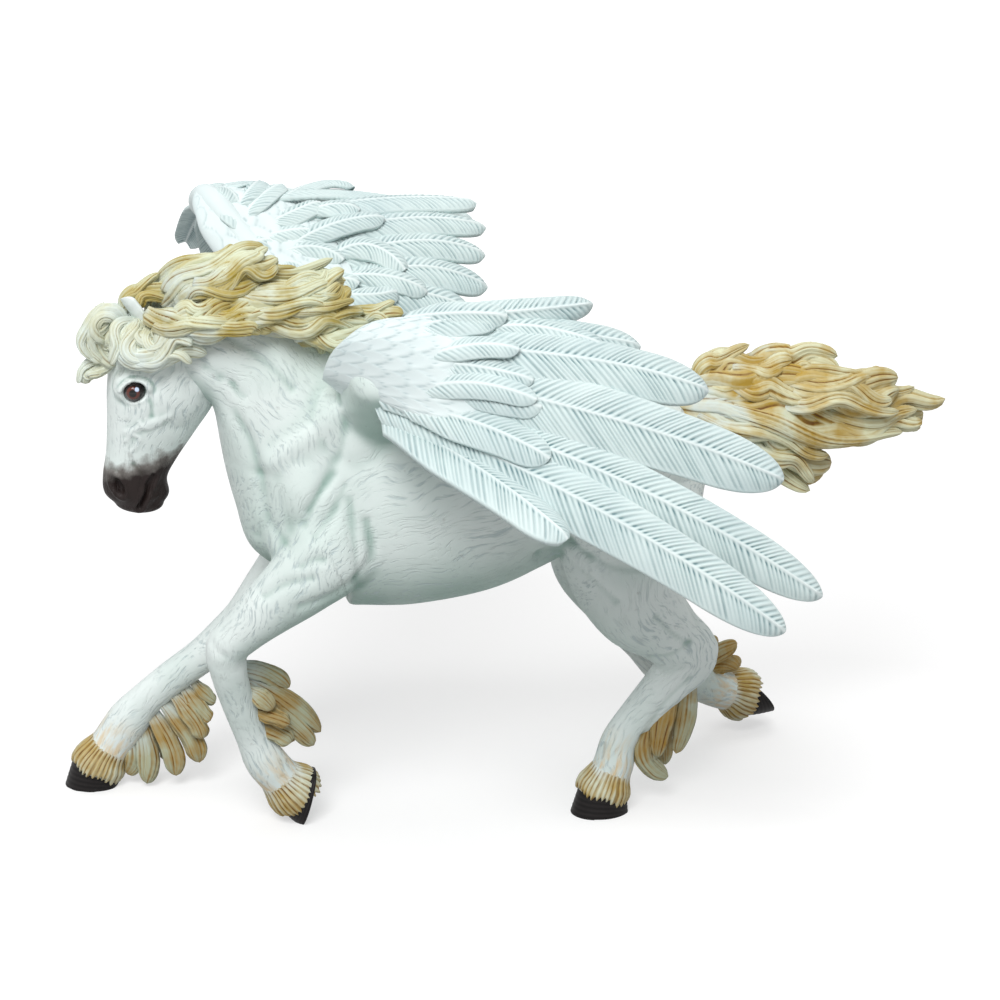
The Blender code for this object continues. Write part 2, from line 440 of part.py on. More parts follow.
def lock(bm, half_width, points, sides=10, steps=4):
    """Build a flattened tapering lock of hair along its points."""
    curve = spline(points, steps)
    rings = []
    for i, (point, along) in enumerate(zip(curve, tangents(curve))):
        t = i / (len(curve) - 1)
        across = unit(np.cross(along, (0, -0.9, 0.4)))
        out = np.cross(across, along)
        wide = half_width * (0.75 + 0.25 * math.sin(math.pi * min(1.0, t * 1.6)))
        if t > 0.55:
            wide *= 1 - 0.6 * ((t - 0.55) / 0.45) ** 1.5
        rings.append([point + across * wide * math.cos(a) + out * wide * LOCK_FLATNESS * math.sin(a)
                      for a in np.linspace(0, 2 * math.pi, sides, endpoint=False)])
    ends = tangents(curve)
    skin(bm, rings, curve[0] - ends[0] * half_width * 0.4, curve[-1] + ends[-1] * half_width * 0.3)


def wing_face(feathers, index, turn):
    """Return the outward direction of the wing at one feather."""
    low = max(index - 1, 0)
    high = min(index + 1, len(feathers) - 1)
    step = np.subtract(feathers[high][1], feathers[low][1])
    along = np.subtract(feathers[index][2], feathers[index][0])
    return unit(np.cross(step, along)) * turn


def over_wing(table, across, along, rise):
    """Return a place over the long feathers and the direction out of the wing there."""
    where = across * (len(table) - 1)
    row = np.array([np.interp(where, np.arange(len(table)), column) for column in table.T])
    face = unit(row[9:])
    return arc(row[:3], row[3:6], row[6:9], (along,))[0] + face * rise * FEATHER_THICKNESS / MM * 0.55, face


def shoulder(bm, table):
    """Build the smooth pad that the roots of a wing's feathers grow from."""
    rings = []
    for across in np.linspace(0, 1, 25):
        fade = math.sqrt(max(0.1, 1 - max(0.0, (abs(2 * across - 1) - 0.8) / 0.2) ** 2))
        rings.append([over_wing(table, across, along, rise * fade)[0] for along, rise in SHOULDER_SECTION])
    skin(bm, rings, np.mean(rings[0], axis=0), np.mean(rings[-1], axis=0))


def wing(bm, feathers, coverts, turn):
    """Build a wing: its primaries, its shoulder and arm, and the coverts over them."""
    faces = np.array([wing_face(feathers, i, turn) for i in range(len(feathers))])
    for (root, middle, tip, share), face in zip(feathers, faces):
        tilt = unit(face + WING_TILT * unit(np.cross(np.subtract(tip, root), face)) * turn)
        feather(bm, root, middle, tip, PRIMARY_HALF_WIDTH / MM * share, FEATHER_THICKNESS / MM, tilt,
                FEATHER_CAMBER / MM)
    table = spline([np.concatenate([f[0], f[1], f[2], face]) for f, face in zip(feathers, faces)], 24)
    shoulder(bm, table)
    for u_root, v_root, u_middle, v_middle, u_tip, v_tip, half_width, rise in coverts:
        root, _ = over_wing(table, u_root, v_root, rise * 0.8)
        middle, face = over_wing(table, u_middle, v_middle, rise * 1.1)
        tip, _ = over_wing(table, u_tip, v_tip, rise)
        feather(bm, root, middle, tip, half_width, COVERT_THICKNESS / MM, face, COVERT_CAMBER / MM)
    radius = WING_ARM_RADIUS / MM
    loft(bm, [tuple(f[0]) + (radius, radius) for f in feathers], side=(1, 0, 0.2), sides=12, steps=3)


def reaching(groups, axis, start, length):
    """Return groups of points stretched along one axis to end a length from a start."""
    far = max(abs(point[axis] - start) for group in groups for point in group)
    grown = []
    for group in groups:
        points = np.array(group, dtype=float)
        points[:, axis] = start + (points[:, axis] - start) * (length / MM) / far
        grown.append([tuple(point) for point in points])
    return grown


def hoof(bm, coronet, sole, toe, top_half, sole_half):
    """Build a hoof between its coronet and its sole."""
    coronet, sole = np.array(coronet, dtype=float), np.array(sole, dtype=float)
    rings = []
    for t in (0.0, 0.35, 0.7, 1.0):
        centre = coronet + (sole - coronet) * t
        length = top_half + (sole_half - top_half) * t
        wide = HOOF_HALF_WIDTH / MM * (CORONET_SHARE + (1 - CORONET_SHARE) * t)
        forward = unit(np.array(toe, dtype=float))
        axis = unit(sole - coronet)
        forward = unit(forward - np.dot(forward, axis) * axis * (1 - t))
        across = unit(np.cross(axis, forward))
        rings.append([centre + forward * length * math.cos(a) + across * wide * math.sin(a)
                      for a in np.linspace(0, 2 * math.pi, 18, endpoint=False)])
    skin(bm, rings, coronet, sole)


def widen(stations, half_width):
    """Return leg stations with their shares turned into half widths."""
    return [row[:4] + (row[4] * half_width / MM,) for row in stations]


def to_mesh(bm, name):
    """Turn the drawing into metres about the figure's centre and return its mesh."""
    for vert in bm.verts:
        vert.co = vert.co * MM + Vector((CENTRE_SHIFT_X, CENTRE_SHIFT_Y, -FLOOR_LEVEL))
    bmesh.ops.recalc_face_normals(bm, faces=bm.faces)
    mesh = bpy.data.meshes.new(name)
    bm.to_mesh(mesh)
    bm.free()
    return mesh


def flesh():
    """Return the overlapping masses of the body, without hair, wings or hooves."""
    bm = bmesh.new()
    loft(bm, [(x, 0, z, high, BARREL_HALF_WIDTH / MM * share) for x, z, high, share in BARREL], sides=28)
    loft_between(bm, [row[:4] + (NECK_HALF_WIDTH / MM * row[4], 0.0) for row in NECK])
    loft_between(bm, [row[:4] + (HEAD_HALF_WIDTH / MM * row[4], row[5]) for row in HEAD])
    for stations, upper in ((NEAR_HIND, THIGH_HALF_WIDTH), (FAR_HIND, THIGH_HALF_WIDTH),
                            (NEAR_FORE, FOREARM_HALF_WIDTH), (FAR_FORE, FOREARM_HALF_WIDTH)):
        half = len(stations) // 2
        loft(bm, widen(stations[:half], upper) + widen(stations[half:], CANNON_HALF_WIDTH))
    for centre, sizes, lean in MUSCLES:
        ellipsoid(bm, centre, sizes, lean)
    ellipsoid(bm, (-30, -14, 105), (11, 12, 8), 0)
    ellipsoid(bm, (-32, -20, 111), (8, 8, 8), 0)
    ellipsoid(bm, (-31, 9, 106), (10, 10, 8), 0)
    loft(bm, [(-30, 4, 103, 8, 7), (-33, 11, 108, 7, 6), (-37.5, 19, 114, 5, 5), (-44, 30, 122, 4, 4)],
         side=(1, 0, 0), sides=14)
    return to_mesh(bm, "flesh_masses")


def trimmings():
    """Return the overlapping eyes, hooves, ears, hair and wings."""
    bm = bmesh.new()
    for turn in (-1, 1):
        ellipsoid(bm, (EYE_X, turn * EYE_SPACING / 2 / MM, EYE_Z), (EYE_RADIUS / MM,) * 3)
    for shape in HOOVES:
        hoof(bm, *shape)
    for root, middle, tip in EARS:
        feather(bm, root, middle, tip, EAR_HALF_WIDTH / MM, EAR_THICKNESS / MM, (-1, -0.5, 0.2), LEAF_CAMBER)
    for row in MANE + FORELOCK:
        lock(bm, row[0], row[1:])
    tail = reaching([row[1:] for row in TAIL], 0, DOCK_X, TAIL_LENGTH)
    for row, points in zip(TAIL, tail):
        lock(bm, row[0], points)
    for half_width, root, middle, tip in FEATHERING:
        feather(bm, root, middle, tip, half_width, LEAF_THICKNESS / MM, (0.2, -1, 0.3), LEAF_CAMBER)
    near = reaching([row[:3] for row in NEAR_WING], 1, NEAR_WING[0][0][1], NEAR_WING_REACH)
    far = reaching([row[:3] for row in FAR_WING], 1, FAR_WING[0][0][1], FAR_WING_REACH)
    far = reaching(far, 2, FAR_WING[0][0][2], FAR_WING_RISE)
    wing(bm, [(*points, row[3]) for points, row in zip(near, NEAR_WING)], NEAR_COVERTS, 1)
    wing(bm, [(*points, row[3]) for points, row in zip(far, FAR_WING)], FAR_COVERTS, -1)
    return to_mesh(bm, "trimmings")


def evaluated(obj):
    """Return the mesh of an object with its modifiers applied."""
    graph = bpy.context.evaluated_depsgraph_get()
    graph.update()
    return bpy.data.meshes.new_from_object(obj.evaluated_get(graph))


def keep_outer_skin(mesh):
    """Keep only the largest connected surface, so that no hollow is sealed inside."""
    bm = bmesh.new()
    bm.from_mesh(mesh)
    seen = set()
    parts = []
    for vert in bm.verts:
        if vert.index in seen:
            continue
        stack = [vert]
        seen.add(vert.index)
        part = []
        while stack:
            here = stack.pop()
            part.append(here)
            for edge in here.link_edges:
                other = edge.other_vert(here)
                if other.index not in seen:
                    seen.add(other.index)
                    stack.append(other)
        parts.append(part)
    parts.sort(key=len)
    for part in parts[:-1]:
        bmesh.ops.delete(bm, geom=part, context="VERTS")
    bm.to_mesh(mesh)
    bm.free()


def material(name, colour, roughness):
    """Return a plain painted plastic."""
    paint = bpy.data.materials.new(name)
    paint.use_nodes = True
    shader = paint.node_tree.nodes["Principled BSDF"]
    shader.inputs["Base Color"].default_value = (*colour, 1.0)
    shader.inputs["Roughness"].default_value = roughness
    shader.inputs["Metallic"].default_value = 0.0
    return paint


def fuse(obj, step):
    """Replace the mesh of an object by the one skin round all its masses."""
    modifier = obj.modifiers.new("fuse", "REMESH")
    modifier.mode = "VOXEL"
    modifier.voxel_size = step
    obj.data = evaluated(obj)
    obj.modifiers.clear()


def main():
    """Fuse the masses into one skin, thin it out and level its soles."""
    for obj in list(bpy.data.objects):
        bpy.data.objects.remove(obj, do_unlink=True)
    figure = bpy.data.objects.new("pegasus_figurine", flesh())
    bpy.context.scene.collection.objects.link(figure)
    fuse(figure, SURFACE_STEP * 1.25)
    ease = figure.modifiers.new("ease", "SMOOTH")
    ease.factor = 0.5
    ease.iterations = EASE_ROUNDS
    whole = bmesh.new()
    whole.from_mesh(evaluated(figure))
    whole.from_mesh(trimmings())
    figure.modifiers.clear()
    whole.to_mesh(figure.data)
    whole.free()
    fuse(figure, SURFACE_STEP)
    keep_outer_skin(figure.data)

    thin = figure.modifiers.new("thin", "DECIMATE")
    thin.ratio = FACE_BUDGET / (2 * len(figure.data.polygons))
    figure.data = evaluated(figure)
    figure.modifiers.clear()
    keep_outer_skin(figure.data)

    bpy.ops.mesh.primitive_cube_add(size=1.0, location=(0, 0, -0.05))
    floor = bpy.context.object
    floor.name = "floor_cutter"
    floor.scale = (0.6, 0.6, 0.1)
    floor.hide_render = True
    floor.display_type = "WIRE"
    level = figure.modifiers.new("level", "BOOLEAN")
    level.operation = "DIFFERENCE"
    level.solver = "EXACT"
    level.object = floor

    figure.data.materials.clear()
    figure.data.materials.append(material("white_vinyl", (0.80, 0.84, 0.83), 0.55))


main()
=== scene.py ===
"""Looks of a winged horse figurine, moulded in vinyl and painted by hand.

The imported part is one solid. The pieces here stand over it in the same frame:
+X runs from the head to the tail, +Y away from the near side and +Z up. Shapes
are drawn in millimetres on the maker's drawing, whose floor lies a little under
the hooves, and they are moved into the frame once, when a piece is made.
"""

import logging
import math
from dataclasses import dataclass, field
from enum import Enum

import bpy
import numpy as np
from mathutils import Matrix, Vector


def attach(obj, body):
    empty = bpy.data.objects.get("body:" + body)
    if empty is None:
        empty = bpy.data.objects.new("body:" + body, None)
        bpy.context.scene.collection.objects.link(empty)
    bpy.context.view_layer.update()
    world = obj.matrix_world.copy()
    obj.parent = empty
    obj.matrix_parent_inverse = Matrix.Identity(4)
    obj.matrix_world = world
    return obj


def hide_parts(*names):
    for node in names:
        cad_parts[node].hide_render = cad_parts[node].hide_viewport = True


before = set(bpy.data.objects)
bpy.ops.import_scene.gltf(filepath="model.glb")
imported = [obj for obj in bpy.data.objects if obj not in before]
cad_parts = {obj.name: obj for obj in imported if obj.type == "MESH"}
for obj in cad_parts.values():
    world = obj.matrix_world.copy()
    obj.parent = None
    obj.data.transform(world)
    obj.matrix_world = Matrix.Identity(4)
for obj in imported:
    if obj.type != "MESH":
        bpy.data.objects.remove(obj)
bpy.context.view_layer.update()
LOG = logging.getLogger("winged_horse")

Array = np.ndarray
Piece = bpy.types.Object
Mesh = bpy.types.Mesh
Material = bpy.types.Material
Socket = bpy.types.NodeSocket
Row = tuple[float, ...]
Point = tuple[float, float, float]

# The drawing's millimetres in metres, and where its zero lies in the frame
MM = 0.001
CENTRE_SHIFT = (-0.00455, -0.0074, -0.0017)

# Barrel stations: x, centre z, half height, half width as a share of the barrel's
BARREL = (
    (-52.5, 75, 8, 0.4), (-47.5, 79, 19.5, 0.72), (-41, 81.5, 26.5, 0.86), (-32, 81.8, 27.4, 0.95),
    (-20, 79.8, 26.4, 0.98), (-8, 79, 23.9, 1.0), (3, 80.8, 21.4, 0.98), (14, 83.4, 19.1, 0.93),
    (26, 84.8, 18.6, 0.9), (36, 85.5, 15.5, 0.76), (42, 85, 10.5, 0.5),
)
# Neck stations: under point x and z, crest point x and z, half width as a share
NECK = (
    (-48, 62, -24, 104, 1.0), (-57.3, 70, -33.5, 112.5, 0.98), (-60.3, 79.8, -41, 118.5, 0.84),
    (-62.2, 88, -49.2, 124.5, 0.74), (-63.2, 94.5, -57.8, 127.5, 0.66), (-63.9, 100.5, -66.5, 126.5, 0.6),
    (-65.2, 104.5, -72.7, 123.8, 0.56),
)
# Head stations from poll to lips: face point x and z, jaw point x and z, half width
# as a share, and how much wider the face side is than the jaw side
HEAD = (
    (-77, 126, -69, 122, 0.6, 0.0), (-82.4, 122.8, -66, 116, 0.85, 0.05),
    (-86, 117, -64.4, 108, 0.98, 0.12), (-87.3, 109.5, -64.5, 104, 1.0, 0.2),
    (-87.7, 101.6, -68.5, 98.3, 0.84, 0.15), (-88.2, 94.8, -72.7, 92.5, 0.68, 0.08),
    (-89.2, 89.2, -75.2, 88.1, 0.62, 0.0), (-89.1, 85.3, -74.9, 84.4, 0.58, 0.0),
    (-87, 82.8, -76.2, 82.2, 0.45, 0.0),
)
# Leg stations: x, y, z, half depth, half width as a share of the thigh or forearm in
# the upper half of the rows, and of the cannon in the lower half
NEAR_HIND = (
    (29, -7, 84, 18, 0.95), (27, -11.5, 73, 16.5, 1.00), (26, -13.5, 63, 14.2, 0.89),
    (29.2, -14.5, 53, 11, 0.74), (36, -14, 45.7, 8, 0.59), (41.8, -13.5, 39.2, 6.8, 0.51),
    (36.8, -13, 32.8, 5.6, 1.17), (30, -12.5, 25, 4.7, 1.06), (25.7, -12, 18.9, 4.5, 1.08),
    (24.4, -12, 13.4, 4.9, 1.22), (22.8, -12, 9.5, 5, 1.28), (21.6, -12, 6.5, 6.2, 1.50),
)
FAR_HIND = (
    (33, 7, 80, 17, 0.95), (29.5, 11, 65.5, 14.2, 0.95), (27, 13, 55.4, 11.4, 0.84),
    (31.8, 13, 44.7, 8.5, 0.68), (39.3, 12, 34.1, 6.5, 0.53), (45.4, 14, 26, 6.2, 1.28),
    (54.1, 19, 18.4, 4.9, 1.11), (60.6, 22, 14.3, 4.9, 1.19), (64.8, 23.5, 12.5, 5.2, 1.28),
    (68, 24.5, 10.9, 6, 1.47),
)
NEAR_FORE = (
    (-37.4, -9, 81, 12, 1.07), (-41.2, -12.5, 72.4, 10.7, 1.00), (-47.8, -13, 65.9, 8.5, 0.87),
    (-55.8, -11.5, 58.9, 6.6, 0.69), (-61.1, -9.5, 53.5, 5.3, 0.64), (-64.5, -8, 49.3, 4.9, 0.60),
    (-64.1, -6.8, 42.8, 4.2, 1.06), (-62, -4.5, 34.5, 3.9, 0.94), (-58.7, -2, 24.7, 3.9, 0.94),
    (-55.9, -1, 18.2, 4.8, 1.17), (-52.3, 0, 12.9, 4.9, 1.22), (-49.3, 0.8, 9.2, 5.6, 1.39),
)
FAR_FORE = (
    (-36, 9, 78, 13, 1.07), (-38.5, 12, 69.5, 10.5, 1.00), (-43.5, 15, 60.5, 9, 0.93),
    (-51, 19, 50.5, 6.8, 0.80), (-56.1, 21.5, 44.4, 5.2, 0.67), (-60, 23, 40.2, 4.8, 0.61),
    (-66.2, 24.5, 34.6, 4.3, 1.11), (-73.5, 26, 29, 4.2, 1.00), (-79.8, 27.5, 23.3, 4.3, 1.00),
    (-83.3, 28.5, 18.9, 5.1, 1.22), (-86.9, 29.8, 13.3, 5.1, 1.28), (-89.6, 30.6, 9.2, 5.2, 1.36),
    (-91.2, 31, 6.3, 6.2, 1.53),
)
# Hooves: coronet centre, sole centre, toe direction, half length at coronet and at sole
HOOVES = (
    ((22, -12, 8.2), (21, -12, 0.2), (-1, -0.08, 0), 5.6, 7.4),
    ((-91.2, 31, 8.2), (-92.6, 31.8, 0.2), (-1, 0.22, 0), 5.5, 6.9),
    ((-49.2, 1, 9.2), (-45.6, 0.6, 7.0), (-0.3, -0.1, -1), 5.6, 7.6),
    ((67, 24.3, 11.3), (72, 25.4, 10.4), (0.62, 0, -0.72), 5.4, 6.9),
)
# Muscle masses: centre, half sizes, lean in the side plane in degrees. The first
# ones stand on both sides alike
MUSCLES = tuple(
    ((x, hand * y, z), sizes, lean)
    for x, y, z, sizes, lean in (
        (-44.5, 9.5, 84, (8.5, 7.5, 14), -20), (-36, 11, 97, (8, 6, 13), -25),
        (-49.5, 7, 75, (6, 6.5, 8), 0), (-73, 3.4, 110, (7.5, 4.6, 7), 0),
        (-83, 5.4, 110.5, (3.6, 2.8, 4), 0),
    )
    for hand in (-1, 1)
) + (
    ((31, -9, 87), (12, 8.5, 12.5), 20), ((32, 8, 87), (11, 8.5, 12.5), 20), ((36, 0, 95), (9, 6.5, 5.5), 0),
    ((45.2, -13, 40.8), (3.6, 3, 4), -30), ((48, 13, 27.8), (3.6, 3, 4), -40),
)
# Masses before this x belong to the head
HEAD_X = -60
EYE_X = -82.3
EYE_Z = 109.9
# Ears: base, middle, tip
EARS = (
    ((-79, -4.5, 121), (-81.5, -5.5, 126.5), (-84, -6, 130)),
    ((-76.5, 5.5, 121), (-75, 7.5, 126.5), (-74, 8.5, 130.5)),
)

# Wing feathers, innermost first: root, middle, tip, half width as a share of a primary's
NEAR_WING = (
    ((-26, -25, 126.8), (-6, -30.5, 128.3), (13.4, -28, 128.3), 0.55),
    ((-29, -26, 125), (0.7, -33.5, 124.3), (21.7, -36, 120.5), 0.8),
    ((-31.5, -27, 121.8), (6.2, -41, 120.3), (33.3, -47, 113), 1.02),
    ((-33, -26.5, 117.3), (9, -49, 110.2), (45.9, -60, 96.6), 1.16),
    ((-34, -25.5, 112), (9.6, -55, 98.9), (52, -69, 73.4), 0.96),
    ((-33.5, -24.5, 108.8), (5.1, -59, 93.6), (41.5, -76, 69.3), 1.0),
    ((-32, -24.5, 105.5), (-16, -47, 99.2), (-2, -65, 89.5), 0.95),
)
FAR_WING = (
    ((-34, 15, 113), (-19.6, 25, 119), (-1, 25, 114.2), 0.78),
    ((-38.5, 22, 116.5), (-16.5, 30, 123.6), (4.8, 31, 117.6), 0.78),
    ((-43.5, 29.5, 122), (-16, 35.5, 128.2), (5.6, 36.5, 124), 0.7),
    ((-48.5, 36, 127.5), (-17, 40.5, 132.4), (7.1, 42, 129.3), 0.64),
    ((-53, 41.5, 133), (-21, 46, 136), (6, 47, 134.2), 0.64),
    ((-56, 45.5, 137), (-27, 54, 136.8), (8, 60, 127.5), 0.95),
    ((-57.5, 49.5, 138), (-31, 63.5, 133.8), (7, 74, 119.5), 1.0),
    ((-58, 52.5, 137.5), (-38, 72, 129), (-8, 86, 110), 1.0),
    ((-58, 54, 136.5), (-46, 76, 125), (-30, 91, 104.5), 0.95),
    ((-57.5, 53.5, 136), (-53, 74, 124.5), (-50, 89, 109), 0.85),
    ((-57, 50.5, 137), (-57.5, 68.5, 130), (-58.5, 86, 119.5), 0.7),
)
# Coverts: root, middle and tip, each as a share across the wing and along its feathers,
# then the half width and how high the feather lies over the long ones
NEAR_COVERTS = (
    (0.681, 0.06, 0.514, 0.19, 0.514, 0.35, 3, 2.2),
    (0.431, 0.09, 0.347, 0.21, 0.347, 0.33, 2.7, 2.2),
    (0.34, -0.01, 0.16, 0.13, 0.111, 0.36, 3.9, 1.8),
    (0.757, 0.06, 0.688, 0.22, 0.715, 0.37, 4.6, 1.5),
    (0.181, 0.31, 0.16, 0.5, 0.243, 0.67, 3.2, 1),
    (0.042, -0.01, 0, 0.23, 0.056, 0.44, 3.2, 1.6),
    (0.528, 0.15, 0.535, 0.25, 0.528, 0.36, 3.4, 1),
    (0.451, 0.11, 0.431, 0.21, 0.444, 0.35, 3.2, 1.2),
)
FAR_COVERTS = (
    (0.275, 0.09, 0.3, 0.28, 0.296, 0.48, 3.1, 1.9),
    (0.204, 0.2, 0.196, 0.36, 0.079, 0.53, 3.4, 1.5),
    (0.125, 0.23, 0.054, 0.47, 0, 0.74, 3.2, 1.2),
    (0.263, 0.01, 0.25, 0.14, 0.175, 0.23, 3, 1.9),
    (0.325, -0.01, 0.321, 0.08, 0.308, 0.19, 3, 2.1),
    (0.446, 0.25, 0.512, 0.46, 0.483, 0.56, 3, 1.7),
    (0.388, 0.02, 0.442, 0.13, 0.5, 0.29, 3.2, 2.2),
    (0.087, 0.14, 0.008, 0.34, 0, 0.53, 2.8, 1.5),
    (0.354, 0.06, 0.371, 0.17, 0.4, 0.32, 3.2, 1.6),
    (0.321, -0.03, 0.312, 0.01, 0.312, 0.04, 2.8, 2.5),
    (0.454, 0, 0.4, 0, 0.362, 0.01, 2.7, 2.55),
    (0.554, 0.01, 0.504, 0.05, 0.438, 0.05, 2.7, 2.55),
    (0.554, 0.05, 0.554, 0.14, 0.554, 0.21, 2.8, 2.3),
    (0.429, 0.03, 0.492, 0.15, 0.554, 0.25, 2.8, 2),
    (0.142, 0.1, 0.117, 0.18, 0.079, 0.25, 2.6, 2),
    (0.371, 0.24, 0.375, 0.35, 0.346, 0.42, 3, 1.4),
    (0.25, -0.01, 0.229, 0.05, 0.188, 0.08, 2.8, 2.2),
    (0.138, 0, 0.113, 0.09, 0.05, 0.18, 2.6, 1.8),
) + tuple(
    (across, low, across, middle, across, high, half_width, rise)
    for places, low, middle, high, half_width, rise in (
        ((0.62, 0.72, 0.82, 0.92), 0.08, 0.29, 0.5, 3.4, 1),
        ((0.6, 0.68, 0.77, 0.86, 0.95), 0.02, 0.16, 0.3, 3, 1.8),
        ((0.62, 0.72, 0.82, 0.92), -0.06, 0.02, 0.1, 2.8, 2.3),
    )
    for across in places
)
# Section through the pad that the feathers grow from: share along the long feathers and
# height over them
SHOULDER_SECTION = (
    (0.26, 0.3), (0.2, 1.4), (0.13, 2.1), (0.05, 2.5), (-0.02, 2.5), (-0.07, 2.0), (-0.1, 0.9),
    (-0.1, -0.5), (-0.06, -1.6), (0.03, -1.8), (0.13, -1.3), (0.22, -0.6),
)

# Hair locks: half width, then the points that the lock follows from root to tip
MANE = (
    (2.6, (-68.4, -8, 129.2), (-63, -10, 132.7), (-58.5, -9, 135.8), (-54.1, -8, 135.8), (-50.9, -7, 137.5)),
    (2.4, (-59.2, -9, 128.9), (-53, -11, 129.9), (-46.4, -10, 130.1), (-40.8, -9, 131.2), (-36.4, -8, 133.8)),
    (2.2, (-54.7, -10, 124.9), (-48.6, -12, 126.3), (-42.8, -11, 127.7), (-38.2, -10, 127.8),
     (-35, -9, 129.6)),
    (2.2, (-64.9, -11, 125.8), (-58.9, -13, 125.1), (-53.3, -12, 126.6), (-48.6, -12, 125.5),
     (-44.1, -11, 127.1)),
    (3.2, (-77, 0, 123), (-75.5, 0, 129), (-71, -2, 133), (-65, -3, 135), (-60, -2, 136), (-55.5, 0, 137.5)),
    (3.0, (-74, -4, 127), (-71, -5, 131.5), (-64, -6, 134.5), (-57, -5, 135.5), (-51.5, -4, 134)),
    (2.8, (-71.5, -6, 128), (-68.5, -8, 131.5), (-63, -9, 132.5), (-58, -8, 133.5), (-52.5, -6, 133.5)),
    (3.4, (-67.5, -4, 128), (-61.5, -5, 130), (-55, -5, 130.5), (-47.5, -4, 130.5), (-35, -1, 130.5)),
    (3.2, (-63, -6, 126), (-56, -8, 128.5), (-48.5, -9, 129.5), (-42.5, -8, 129.5), (-36, -6, 130)),
    (3.0, (-70, -8, 125), (-63.5, -10, 127.5), (-56.5, -11, 127.5), (-49, -11, 128.5), (-42, -10, 128.5),
     (-37, -7, 126)),
    (3.0, (-79, -8, 126.5), (-75, -10, 125.5), (-70.5, -11, 125.5), (-66.5, -12, 127), (-59, -10, 129)),
    (3.0, (-72.5, -10, 124.5), (-67, -12, 124), (-62, -12.5, 125), (-57, -12, 126), (-52.5, -12, 123)),
    (3.4, (-60.5, -9, 124), (-53.5, -10, 125.5), (-46.5, -11, 124), (-41, -11, 125), (-31, -8, 121.5)),
    (3.2, (-53.5, -8, 123), (-48, -10, 122), (-43, -11, 121), (-38, -11, 121.5), (-32, -9, 121)),
    (2.2, (-40, -4, 121), (-33, -6, 123), (-28.5, -8, 123.5), (-24, -10, 123.5)),
    (2.4, (-82.5, -2, 124), (-82, -3, 128), (-80, -3, 129.5), (-77, -3, 130.5), (-73, -2, 131)),
    (3.0, (-74, 3, 123), (-68.5, 5, 128), (-61, 7, 130.5), (-54.5, 8, 130.5), (-47.5, 8, 128.5),
     (-41.5, 6, 127.5)),
    (3.2, (-70.5, 4, 121), (-61, 8, 124.5), (-50.5, 9, 124), (-40, 8, 122.5), (-33, 6, 120)),
    (3.0, (-64, 6, 119), (-54.5, 10, 120), (-45, 11, 118.5), (-36, 10, 116.5), (-31, 8, 115)),
    (3.4, (-60, -2, 122), (-52.5, -2, 123), (-45.5, -3, 119.5), (-41, -4, 117.5), (-38, -5, 115)),
    (3.6, (-66, 0, 122), (-58, 0, 127), (-50, 0, 127), (-42, 0, 124), (-34, 0, 118)),
)
FORELOCK = (
    (2.4, (-82, -3, 122), (-85, -4, 126), (-88, -4, 126.2), (-90.3, -4, 124.2), (-90.8, -4, 121.5),
     (-90, -4, 119), (-87.5, -3, 116)),
    (3.0, (-81.5, -2, 123.5), (-86, -3, 123.8), (-88.2, -3, 121.5), (-88.5, -3, 118.5), (-85.5, -4, 115)),
    (1.9, (-84.5, -3, 117), (-87.5, -3, 115), (-90, -3, 114.4), (-92.2, -3, 113.3), (-92, -3, 111)),
    (2.4, (-84, -6, 121.5), (-84.5, -8.5, 118.5), (-82.5, -9.5, 117.3), (-79, -10.5, 118.2),
     (-76.5, -10.8, 120), (-74, -11, 123), (-70.5, -11, 123.5), (-67, -11, 122)),
    (2.2, (-83, -8, 119), (-80, -9.5, 117), (-77, -10.5, 118), (-72, -11, 119.5), (-67, -10.5, 117.5)),
    (2.6, (-81, -4, 124.5), (-84, -6.5, 122.5), (-85, -7.5, 119.5), (-84.5, -7.5, 117.5)),
    (2.6, (-79.5, -5, 125), (-81.5, -7.5, 122.5), (-81, -8.5, 119.5), (-76.5, -9.5, 120.5)),
    (2.4, (-77.5, -6, 125), (-78, -8.5, 122), (-76.5, -9.5, 121.5), (-73.5, -10, 122.5)),
    (2.4, (-79.5, 2, 122.5), (-83.5, 3, 121.5), (-86.5, 3, 119), (-85.8, 1, 114)),
    (2.4, (-76.5, 5, 121.5), (-79, 8, 117.5), (-80, 8.5, 113.5), (-77.5, 8, 111)),
)
